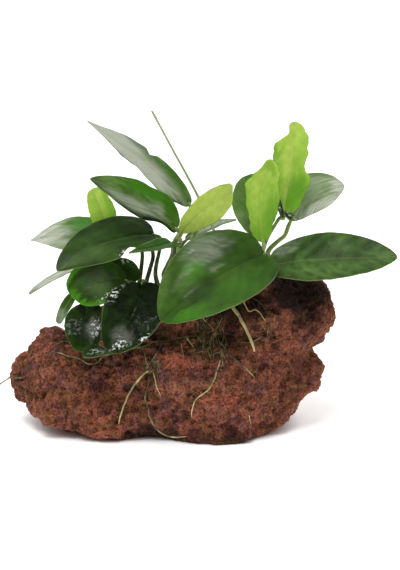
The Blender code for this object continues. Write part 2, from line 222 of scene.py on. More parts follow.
def node_route(node):
    """The middles and radii of the rings of a CAD tube, from its thick end to its thin one."""
    shape = bmesh.new()
    shape.from_mesh(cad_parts[node].data)
    bmesh.ops.remove_doubles(shape, verts=shape.verts, dist=MERGE)
    bmesh.ops.dissolve_limit(shape, angle_limit=FLAT, verts=shape.verts, edges=shape.edges)
    caps = [face for face in shape.faces if len(face.verts) > 4]
    if not caps:
        raise RuntimeError(f"{node} has no flat end")
    ring = list(min(caps, key=lambda face: face.calc_perimeter()).verts)
    seen = set()
    route = []
    while ring:
        middle = sum((vert.co for vert in ring), Vector()) / len(ring)
        route.append((middle, sum((vert.co - middle).length for vert in ring) / len(ring)))
        seen.update(ring)
        # A dict, unlike a set, has one order, so the sums come out the same in each run
        beside = dict.fromkeys(edge.other_vert(vert) for vert in ring for edge in vert.link_edges)
        ring = [vert for vert in beside if vert not in seen]
    shape.free()
    if route[0][1] < route[-1][1]:
        route.reverse()
    return [middle.copy() for middle, _ in route], [radius / MM for _, radius in route]


def resampled(values, count):
    """As many values as asked for, spread evenly over the given ones."""
    made = []
    for index in range(count):
        spot = index * (len(values) - 1) / (count - 1)
        low = min(int(spot), len(values) - 2)
        made.append(values[low] + (values[low + 1] - values[low]) * (spot - low))
    return made


# --------------------------------------------------------------------------------------------- the lava stone


class StoneSettings(bpy.types.PropertyGroup):
    """The lava stone's grain and colours."""

    grain: length_property("Grain", "Edge length of the stone's finest modelled detail", 0.7)
    lumps: length_property("Lumps", "Height of the lumps and dips about 8 mm wide", 1.5)
    roughness: length_property("Roughness", "Height of the ridges about 3 mm wide", 0.8)
    bubble_depth: length_property("Bubble depth", "Depth of the small bubbles of the froth", 1.3)
    pit_depth: length_property("Pit depth", "Depth of the larger gas pits", 2.2)
    fold_height: length_property("Fold height", "Height of the level folds at the lower left", 1.5)
    red: colour_property("Red lava", "The oxidised red-brown of most of the stone", "#804B38")
    # Also painted shade, in the hollows and where the stone lies in shadow
    dark: colour_property("Dark lava and painted shade", "The nearly black brown of hollows and of the right top", "#1C1210")
    orange: colour_property("Salmon lava", "The freshly broken salmon patches", "#AC604A")
    plum: colour_property("Plum lava", "The violet brown of the glassier parts", "#6A4346")
    ochre: colour_property("Ochre lava", "The yellow-brown of the weathered parts", "#7A5A30")
    olive: colour_property("Film", "The olive film of algae and dust", "#4A4024")
    dust: colour_property("Dust", "The pale dust on the ridges", "#A67464")


@dataclass
class Patch:
    """A part of the stone with a colour of its own; most dark ones are painted shade where the stone lies in
    shadow.
    """

    name: str
    centre: tuple
    radius: float
    kind: str
    strength: float = 0.85


# The dark shoulder, crest and foot are painted shade where the stone lies in shadow
STONE_PATCHES = [
    Patch("broken orange face", (16, -34, 20), 15, "orange"),
    Patch("small orange face", (28, -30, 10), 10, "orange"),
    Patch("salmon face", (0, -32, 38), 11, "orange", 0.6),
    Patch("right edge", (55, -14, 18), 12, "orange", 0.5),
    Patch("shaded dark shoulder", (52, -8, 60), 22, "dark", 0.9),
    Patch("shaded crest", (26, -18, 56), 14, "dark", 0.75),
    Patch("salmon middle", (-32, -40, 16), 16, "orange", 0.35),
    Patch("right middle", (50, -22, 26), 15, "dark", 0.35),
    Patch("left end", (-66, -12, 18), 17, "dark", 0.25),
    Patch("shaded front foot", (-12, -44, -1), 15, "dark", 0.75),
    Patch("shadowed foot", (10, -43, -4), 14, "dark", 0.8),
    Patch("shadowed foot on the right", (28, -38, -6), 17, "dark", 0.8),
    Patch("mossy middle", (13, -30, 45), 15, "film", 0.9),
    Patch("left film", (-62, -10, 22), 30, "film", 0.5),
]


@dataclass
class Dent:
    """A place where the stone is pushed in or out: its middle, its reach each way and the push."""

    name: str
    centre: tuple
    reach: tuple
    push: tuple


DENTS = [
    Dent("right notch", (70, 0, 33.5), (12, 60, 3.5), (-5, 0, 0)),
    Dent("arch under the front", (-11, -42, 0), (14, 20, 8), (0, 9, 0)),
    Dent("hollow over the arch", (-6, -42, 10), (8, 9, 4), (0, 4, 0)),
    Dent("foot on the right", (24, -36, 0), (22, 18, 6), (0, -7, 0)),
    Dent("hollow on the left", (-36, -34, 22), (9, 9, 4), (0, 3.5, 0)),
    Dent("hollow on the right", (44, -30, 24), (8, 9, 4), (-1, 3, 0)),
    Dent("hollow at the back", (20, 36, 30), (14, 10, 7), (0, -4, 0)),
]


STONE_LAYERS = ("pit", "height", "orange", "dark", "film")
LUMP_WIDTH = 8.0
RIDGE_WIDTH = 3.0
RIDGE_SHIFT = Vector((7, 3, 1))  # keeps the ridges' pattern apart from the lumps'
PIT_WIDTH = 6.5
PIT_SHARE = 0.5
PIT_SEED = 3
CHANCE_SPREAD = 31  # sets the pits' middles far enough apart for each to draw a chance of its own
SIZE_SPREAD = 57  # the same for their sizes
BUBBLE_WIDTH = 2.7
BUBBLE_SEED = 11
BUBBLE_STRAY = 0.6
BUBBLE_RISE = 0.35  # the share of the bubbles' depth by which the skin stands out at first
FOLD_SIZE = (26, 26, 5.5)  # wide, deep and high
FOLD_STRAY = 0.3
FOLDS_FADE_RIGHT = (-45, -5)  # the x at which the folds start to fade, and are weak
FOLDS_FADE_UP = (22, 42)  # the same for the height
WEAK_FOLDS = 0.3
FOOT_HEIGHT = 5.0
FOOT_TUCK = 0.03  # the share by which the foot draws in
FILM_REACH = (1.0, 7.0)  # from a root, where its film starts to fade and has faded
RAISED_GAP = (1.5, 8.0)  # the gap under the rhizome that the stone closes in full, and not at all


def pit_at(place, size, share, seed):
    """How deep, from 0 to 1, a place lies in the gas pits of one size, of which a share is there."""
    distances, spots = noise.voronoi(place / size + Vector((seed, 0, 0)))
    chance = noise.cell(spots[0] * CHANCE_SPREAD)
    if chance > share * 2 - 1:
        return 0.0
    radius = 0.30 + 0.22 * noise.cell(spots[0] * SIZE_SPREAD)
    return max(0.0, 1 - (distances[0] / radius) ** 2) ** 0.7


def bubble_at(place, size, seed):
    """How deep, from 0 on a wall to 1, a place lies in a froth of bubbles of one size."""
    distances, spots = noise.voronoi(place / size + Vector((seed, 0, 0)))
    wall = smooth_step(0.02, 0.42, distances[1] - distances[0])
    return wall * (0.5 + 0.5 * noise.cell(spots[0] * SIZE_SPREAD))


def lava_finish(settings):
    """Scoria: red-brown volcanic froth, dull, full of gas pits with painted shade in them, dusty on its
    ridges.
    """
    made, tree, shader = new_material("porous_red_scoria")
    place = wire(tree, "TexCoord", output="Object")
    shares = {name: wire(tree, "Attribute", attribute_name=name, output="Fac") for name in STONE_LAYERS}

    # Clouds, hues, mottling and grit, by the width of their spots
    clouds, hue, mottle, grit = (
        wire(tree, "TexNoise", {"Vector": place, "Scale": 1 / (width * MM), "Detail": detail}, "Fac")
        for width, detail in ((14, 4.0), (7, 3.0), (3.2, 5.0), (0.9, 3.0)))
    # Pores about 1.4 mm apart, which is as fine as the picture shows
    pores = wire(tree, "TexVoronoi", {"Vector": place, "Scale": 1 / (1.4 * MM), "Randomness": 1.0},
                 "Distance")
    pore = wire(tree, "MapRange", {"Value": pores, "From Min": 0.42, "From Max": 0.10},
                interpolation_type="SMOOTHSTEP")

    tint = wire(tree, "MapRange", {"Value": clouds, "From Min": 0.45, "From Max": 0.62})
    warm = wire(tree, "Math", {0: tint, 1: 0.35}, operation="MULTIPLY")
    warm = wire(tree, "Math", {0: warm, 1: shares["orange"]}, operation="MAXIMUM")
    plum = wire(tree, "MapRange", {"Value": hue, "From Min": 0.47, "From Max": 0.35, "To Max": 0.7})
    ochre = wire(tree, "MapRange", {"Value": hue, "From Min": 0.53, "From Max": 0.66, "To Max": 0.7})
    greener = wire(tree, "MapRange", {"Value": mottle, "From Min": 0.46, "From Max": 0.62})
    greener = wire(tree, "Math", {0: greener, 1: shares["film"]}, operation="MULTIPLY")
    body = settings.red
    for share, colour in ((plum, settings.plum), (ochre, settings.ochre), (warm, settings.orange),
                          (greener, settings.olive)):
        body = wire(tree, "Mix", {"Factor": share, "A": body, "B": colour}, "Result", data_type="RGBA")
    spots = wire(tree, "MapRange",
                 {"Value": mottle, "From Min": 0.38, "From Max": 0.62, "To Min": 1.25, "To Max": 0.75})
    grain = wire(tree, "MapRange",
                 {"Value": grit, "From Min": 0.34, "From Max": 0.66, "To Min": 0.55, "To Max": 1.5})
    shade = wire(tree, "Math", {0: spots, 1: grain}, operation="MULTIPLY")
    body = wire(tree, "Mix", {"Factor": 1.0, "A": body, "B": shade}, "Result", data_type="RGBA",
                blend_type="MULTIPLY")
    ridge = wire(tree, "MapRange",
                 {"Value": shares["height"], "From Min": 0.5, "From Max": 1.0, "To Max": 0.4})
    ridge = wire(tree, "Math", {0: ridge, 1: grain}, operation="MULTIPLY", use_clamp=True)
    # Painted shade: the dark patches, and pores and pits darkened where shade falls in them
    hollow = wire(tree, "Math", {0: pore, 1: 0.5}, operation="MULTIPLY")
    hollow = wire(tree, "Math", {0: hollow, 1: shares["pit"]}, operation="MAXIMUM")
    for share, colour in ((ridge, settings.dust), (shares["dark"], settings.dark), (hollow, settings.dark)):
        body = wire(tree, "Mix", {"Factor": share, "A": body, "B": colour}, "Result", data_type="RGBA")

    relief = wire(tree, "Math", {0: pore, 1: -1.2}, operation="MULTIPLY")
    relief = wire(tree, "Math", {0: relief, 1: grit}, operation="ADD")
    bump = wire(tree, "Bump", {"Height": relief, "Strength": 0.9, "Distance": 0.6 * MM})
    feed(tree, shader, {"Base Color": body, "Normal": bump, "Roughness": 0.92, "Specular IOR Level": 0.2})
    return made


def search_tree(places):
    """A tree that finds the nearest of the places."""
    tree = KDTree(len(places))
    for index, place in enumerate(places):
        tree.insert(place, index)
    tree.balance()
    return tree


class ANUBIAS_OT_stone(bpy.types.Operator):
    """Build the rough porous skin of the lava stone"""

    bl_idname = "anubias.stone"
    bl_label = "Lava stone"

    def execute(self, context):
        noise.seed_set(NOISE_SEED)
        settings = context.scene.anubias_stone
        shape = bmesh.new()
        shape.from_mesh(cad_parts["lava_stone"].data)
        bmesh.ops.remove_doubles(shape, verts=shape.verts, dist=MERGE)
        made = finished("stone_skin", shape, lava_finish(settings), ["lava_stone"])
        fine = made.modifiers.new("fine", "REMESH")
        fine.mode = "VOXEL"
        fine.voxel_size = settings.grain
        mesh = bpy.data.meshes.new_from_object(made.evaluated_get(context.evaluated_depsgraph_get()))
        made.modifiers.clear()
        finish = made.data.materials[0]
        made.data = mesh
        mesh.materials.clear()
        mesh.materials.append(finish)

        shape = bmesh.new()
        shape.from_mesh(mesh)
        shape.normal_update()
        layers = {name: shape.verts.layers.float.new(name) for name in STONE_LAYERS}
        roots = [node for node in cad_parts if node.startswith("root_")]
        near_roots = search_tree([place for node in roots for place in node_route(node)[0]])
        route, radii = node_route("rhizome")
        near_rhizome = search_tree(smooth_route(route, 1.0))
        moves = [self.weathered(vert, layers, settings, near_roots)
                 + self.raised(vert, near_rhizome, radii[0]) for vert in shape.verts]
        for vert, move in zip(shape.verts, moves):
            vert.co += move
            vert.co.z = max(vert.co.z, 0.0)
        shape.to_mesh(mesh)
        shape.free()
        mesh.shade_smooth()
        return {"FINISHED"}

    def raised(self, vert, near_rhizome, radius):
        """How far a place under the rhizome rises to carry it."""
        above, _, gap = near_rhizome.find(vert.co)
        gap = gap / MM - radius
        if gap <= 0 or above.z < vert.co.z:
            return Vector()
        return (above - vert.co).normalized() * gap * (1 - smooth_step(*RAISED_GAP, gap)) * MM

    def weathered(self, vert, layers, settings, near_roots):
        """How far a place of the skin moves. Its shares of pit, height and colours are stored on it."""
        place = vert.co / MM
        lump = noise.fractal(place / LUMP_WIDTH, 1.0, 2.0, 3)
        rough = noise.fractal(place / RIDGE_WIDTH + RIDGE_SHIFT, 0.8, 2.0, 3)
        large = pit_at(place, PIT_WIDTH, PIT_SHARE, PIT_SEED)
        strayed = place + BUBBLE_STRAY * noise.noise_vector(place / 2.0)
        small = bubble_at(strayed, BUBBLE_WIDTH, BUBBLE_SEED)
        level = Vector([a / b for a, b in zip(place, FOLD_SIZE)])
        level += FOLD_STRAY * noise.noise_vector(place / 9)
        # The folds are at their clearest low on the left
        left = (1 - smooth_step(*FOLDS_FADE_RIGHT, place.x)) * (1 - smooth_step(*FOLDS_FADE_UP, place.z))
        rise = settings.lumps * lump + settings.roughness * rough + settings.bubble_depth * BUBBLE_RISE
        rise += settings.fold_height * (WEAK_FOLDS + left) * noise.noise(level)
        sink = settings.pit_depth * large + settings.bubble_depth * small
        move = vert.normal * (rise - sink) * smooth_step(0.0, 3.0, place.z)
        for dent in DENTS:
            gap = sum(((a - b) / reach) ** 2 for a, b, reach in zip(place, dent.centre, dent.reach))
            move += Vector(dent.push) * math.exp(-gap) * MM
        foot = FOOT_TUCK * (1 - smooth_step(0.0, FOOT_HEIGHT, place.z))
        move -= Vector((vert.co.x, vert.co.y, 0)) * foot

        vert[layers["pit"]] = min(1.0, 0.65 * large + 0.25 * small * small)
        vert[layers["height"]] = min(max(0.5 + 0.35 * lump + 0.55 * rough - 0.4 * small, 0.0), 1.0)
        for patch in STONE_PATCHES:
            away = (place - Vector(patch.centre)).length / patch.radius + 0.35 * lump
            share = (1 - smooth_step(0.45, 1.0, away)) * patch.strength
            vert[layers[patch.kind]] = max(vert[layers[patch.kind]], share)
        gap = near_roots.find(vert.co)[2] / MM
        mossy = 0.15 + 0.6 * (1 - smooth_step(*FILM_REACH, gap))
        vert[layers["film"]] = max(vert[layers["film"]], mossy)
        return move


# ------------------------------------------------------------------------------------------------ the rhizome


class RhizomeSettings(bpy.types.PropertyGroup):
    """The creeping stem's rings and colours."""

    ring_spacing: length_property("Ring spacing", "Distance between leaf scars", 3.4)
    ring_depth: length_property("Ring depth", "Depth of each leaf scar", 0.35)
    green: colour_property("Skin", "The rhizome's olive green skin", "#5C6B35")
    brown: colour_property("Scar", "The brown of old leaf scars", "#4A3B22")


def rhizome_finish(settings):
    """Living rhizome skin: firm, waxy and olive, with corky brown rings where leaves once stood."""
    made, tree, shader = new_material("waxy_rhizome_skin")
    place = wire(tree, "TexCoord", output="Object")
    scar = wire(tree, "Attribute", attribute_name="scar", output="Fac")
    mottle = wire(tree, "TexNoise", {"Vector": place, "Scale": 1 / (1.8 * MM), "Detail": 4.0}, "Fac")
    patch = wire(tree, "MapRange", {"Value": mottle, "From Min": 0.45, "From Max": 0.65})
    brown = wire(tree, "Math", {0: patch, 1: scar}, operation="MAXIMUM")
    skin = wire(tree, "Mix", {"Factor": brown, "A": settings.green, "B": settings.brown}, "Result",
                data_type="RGBA")
    bump = wire(tree, "Bump", {"Height": mottle, "Strength": 0.5, "Distance": 0.3 * MM})
    gloss = wire(tree, "MapRange", {"Value": mottle, "To Min": 0.35, "To Max": 0.65})
    feed(tree, shader, {"Base Color": skin, "Normal": bump, "Roughness": gloss})
    return made


RHIZOME_STEP = 0.7
RHIZOME_SIDES = 28
RHIZOME_OVERRUN = 0.6  # how far the skin runs past each end of its node
ROUNDED_RINGS = 5  # at each end of the rhizome
RHIZOME_LUMPS = 0.45
SCAR_WIDTH = 0.14  # as a share of the ring spacing
SCAR_BEND = 0.4
SCAR_COLOUR = 0.8


class ANUBIAS_OT_rhizome(bpy.types.Operator):
    """Build the ringed rhizome that creeps along the stone's crest"""

    bl_idname = "anubias.rhizome"
    bl_label = "Rhizome"

    def execute(self, context):
        settings = context.scene.anubias_rhizome
        route, radii = node_route("rhizome")
        ahead = (route[-1] - route[-2]).normalized()
        behind = (route[0] - route[1]).normalized()
        overrun = RHIZOME_OVERRUN * MM
        points = smooth_route([route[0] + behind * overrun, *route, route[-1] + ahead * overrun],
                              RHIZOME_STEP)
        rounding = [min(1.0, ((1 + index) / ROUNDED_RINGS) ** 0.5) for index in range(len(points))]
        thick = [radii[0] * min(a, b) for a, b in zip(rounding, reversed(rounding))]
        shape = tube(points, thick, RHIZOME_SIDES)
        scar = shape.verts.layers.float.new("scar")
        along = shape.verts.layers.float["along"]
        length = sum((b - a).length for a, b in zip(points, points[1:]))
        shape.normal_update()
        for vert in shape.verts:
            place = vert.co / MM
            bend = noise.noise(place / 5.0)
            spot = vert[along] * length / settings.ring_spacing + SCAR_BEND * bend
            ring = math.exp(-((spot - round(spot)) / SCAR_WIDTH) ** 2)
            vert[scar] = ring * SCAR_COLOUR
            lump = RHIZOME_LUMPS * noise.noise(place / 4.0)
            vert.co += vert.normal * (lump * MM - settings.ring_depth * ring)
        finished("rhizome_skin", shape, rhizome_finish(settings), ["rhizome"])
        return {"FINISHED"}


# ------------------------------------------------------------------------------------------------- the leaves


@dataclass
class Leaf:
    """A blade, as in the part: where it is, how it bends, and how old it is."""

    name: str
    base: tuple
    tip: tuple
    width: float
    face: tuple  # the way that the upper side looks
    arch: float = 2.0  # how far the midrib's middle stands above its chord
    sweep: float = 0.0  # how far the midrib's middle lies to the side of its chord
    fold: float = 10.0  # degrees that each half rises
    twist: float = 0.0  # degrees that the blade turns from base to tip
    wave: float = 0.0  # height of the margin's waves
    waves: float = 3.0  # waves along the margin
    full: float = 0.80  # under 1, the blade is widest nearer its base
    blunt: float = 0.85  # under 1, the tip is rounded
    lobes: float = 2.0  # how far the base's lobes reach back
    dents: tuple = ()  # side, place along the margin, depth and, unless DENT_REACH, reach of each dent
    curl: tuple = ()  # side and degrees that a margin bends down, widest at the base, and where that ends
    node: bool = True  # the blade stands for one of the part's
    finish: str = "mature"  # or old, which is wet and dark, or young, which is soft and yellower
    tone: float = 0.5  # from 0, darkest, to 1, palest
    veins: float = 0.4  # how clearly its side veins show
    spacing: float = 6.0  # between side veins along the midrib
    streaks: float = 0.0  # how clearly fine pale lines run along it
    wet: float = 0.0  # how wet it is, in little dimples
    crinkle: float = 0.15  # how far its margin strays in and out
    rib: float = 0.2  # how much paler its midrib is, or, under 0, darker


LEAVES = [
    Leaf("front_broad", (38, -13, 80.5), (-8, -42, 56.5), 41, (-0.1, -0.75, 0.6),
         arch=6, sweep=0.5, fold=14, blunt=0.6, lobes=6, tone=0.38, veins=0.4, spacing=8, rib=-0.35),
    Leaf("right_long", (41, -12, 75.5), (97, -20, 80.5), 29, (0.0, -0.6, 0.8),
         arch=1.5, fold=8, blunt=0.6, lobes=4, tone=0.40, veins=1.3, spacing=9.5, rib=0.2),
    Leaf("right_back", (51, 9, 92), (77, 24, 106), 22, (-0.2, -0.8, 0.6),
         sweep=-4.6, fold=8, full=1.05, blunt=0.65, lobes=0.5, tone=1.0, veins=0.2, streaks=0.8, rib=0.1),
    Leaf("centre_back", (35, 9, 84.5), (33, 24, 111.5), 21.5, (-0.1, -0.8, 0.4),
         arch=-2, sweep=0.7, full=1.2, blunt=0.35, tone=0.65),
    Leaf("young_short", (37.8, -4, 84.6), (41.8, 1, 121.4), 17.2, (0.0, -1.0, 0.1),
         arch=1, sweep=-3.2, wave=0.8, full=1.1, blunt=0.45,
         dents=((-1, 0.26, 0.26), (-1, 0.44, 0.2), (-1, 0.88, 0.42), (1, 0.75, 0.12)), finish="young",
         tone=0.35, crinkle=0.9),
    Leaf("young_tall", (47.7, 4, 96.7), (52.5, 8, 137.8), 21, (0.1, -1.0, 0.1),
         arch=1, wave=1.6, full=0.96, blunt=0.46,
         dents=((-1, 0.21, 0.52), (-1, 0.48, 0.36), (-1, 0.88, 0.62, 0.09), (1, 0.55, 0.34), (1, 0.73, 0.2)),
         finish="young", tone=0.45, crinkle=0.9),
    Leaf("young_centre", (0.3, -8, 89.4), (23.7, -1, 107), 17.5, (0.4, -1.0, -0.4),
         arch=3, sweep=-4.2, full=1.2, blunt=0.3, finish="young", tone=1.0, crinkle=0.4),
    Leaf("upper_left", (4.1, 8, 99.6), (-43.2, 20, 137), 18.4, (0.7, -0.6, 0.7),
         arch=3, sweep=-1, twist=20, wave=-0.2, full=0.9, blunt=1.0,
         dents=((1, 0.475, 0.30, 0.035), (1, 0.54, 0.16, 0.12), (-1, 0.47, 0.14, 0.03), (-1, 0.16, -0.33)),
         tone=0.80, veins=0.1, streaks=1.1),
    Leaf("left_upper", (-1.8, -1, 89.8), (-40.1, -12, 114.7), 20, (0.2, -0.7, 0.7),
         arch=3, sweep=0, fold=14, full=0.72, blunt=0.7, dents=((-1, 0.17, 0.58, 0.18), (1, 0.22, -0.20)),
         curl=(-1, 60, 0.74), tone=0.6, veins=0.15, streaks=0.6),
    Leaf("small_yellow", (-33, 6, 85), (-40.5, 10, 106.8), 12.2, (0.1, -1.0, 0.1),
         arch=1, sweep=0.7, full=0.9, blunt=0.3, finish="young", tone=0.45, crinkle=0.4),
    Leaf("left_dark", (-11.8, -4, 87.5), (-54.5, -25, 75.4), 30, (-0.2, -0.6, 0.8),
         arch=4, sweep=2.3, fold=3, full=0.61, blunt=0.64, dents=((-1, 0.3, 0.5),), tone=0.22, veins=0.2,
         streaks=0.6, rib=0),
    Leaf("left_far", (-30, 17, 80), (-71, 22, 80.5), 23, (-0.1, -0.6, 0.8),
         arch=2.5, sweep=1.2, full=0.74, blunt=1.0, tone=0.9, veins=0.15, streaks=0.6),
    Leaf("left_low", (-37, 6, 73), (-70.7, 6, 57.9), 6.5, (-0.3, -0.3, 0.8),
         arch=0.5, sweep=4.2, full=1.3, blunt=0.5, tone=1.0, veins=0.1, streaks=0.9),
    Leaf("small_flat", (-3.6, -11, 85.2), (-22.3, -28, 83.9), 12.4, (0.1, -0.18, 1.0),
         arch=0.5, sweep=-1.3, full=0.45, blunt=0.8, finish="old", tone=0.15, veins=0.1),
    Leaf("left_round", (-23.9, -17, 69), (-47.3, -27.2, 63.6), 21.4, (-0.3, -0.9, 0.27),
         arch=3, sweep=2.8, full=1.3, blunt=0.32, finish="old", tone=0.25, veins=0.2, wet=0.4, rib=0.03),
    Leaf("low_left", (-41.8, -22, 59.7), (-40.7, -38.4, 41.9), 18.2, (-0.2, -0.8, 0.5),
         arch=3, full=0.94, blunt=0.3, finish="old", tone=0.1, veins=0.1, wet=1, rib=0),
    Leaf("low_middle", (-16.8, -23, 69.1), (-31.2, -44, 43.7), 27.6, (-0.1, -0.8, 0.5),
         arch=3, sweep=-3.6, full=0.8, blunt=0.48, lobes=1, finish="old", tone=0.0, veins=0.1, wet=1, rib=0),
    Leaf("low_small", (-32.4, -40.4, 42.9), (-41.3, -48.8, 42.2), 9.8, (-0.1, -0.5, 0.9),
         arch=1, sweep=-0.6, full=0.88, blunt=0.31, finish="old", tone=0.2, veins=0.1, wet=1, rib=0),
    Leaf("shaded", (-21, -6.5, 66), (-36, -9.5, 76.5), 17, (-0.2, -0.8, 0.2),
         arch=3, finish="old", tone=0.3, veins=0.1, wet=0.5, rib=0),
    Leaf("drooping", (-48.3, -7, 61), (-55.8, -10, 47.8), 5.2, (-0.3, -0.8, 0.2),
         arch=0.5, sweep=0.5, full=0.7, blunt=0.25, tone=0.6, veins=0.1, streaks=0.4),
    Leaf("behind_centre", (3, 10, 83), (26, 18, 91), 13, (-0.1, -0.1, 1.0),
         arch=1, tone=0.5, veins=0.1),
    Leaf("sheath", (46.6, 2.2, 94.6), (44.5, 1.2, 105.6), 3.0, (-0.5, -0.8, 0.1),
         arch=0.6, fold=-30, blunt=0.7, lobes=0, node=False, tone=0.1, veins=0, wet=0.8, crinkle=0.3),
    Leaf("curled_edge", (53.0, 4.6, 93.2), (47.3, 3.4, 97.4), 3.8, (0.2, -0.9, 0.4),
         arch=1.2, fold=-35, blunt=0.6, lobes=0, node=False, tone=0.3, veins=0, wet=0.8, crinkle=0.3),
]


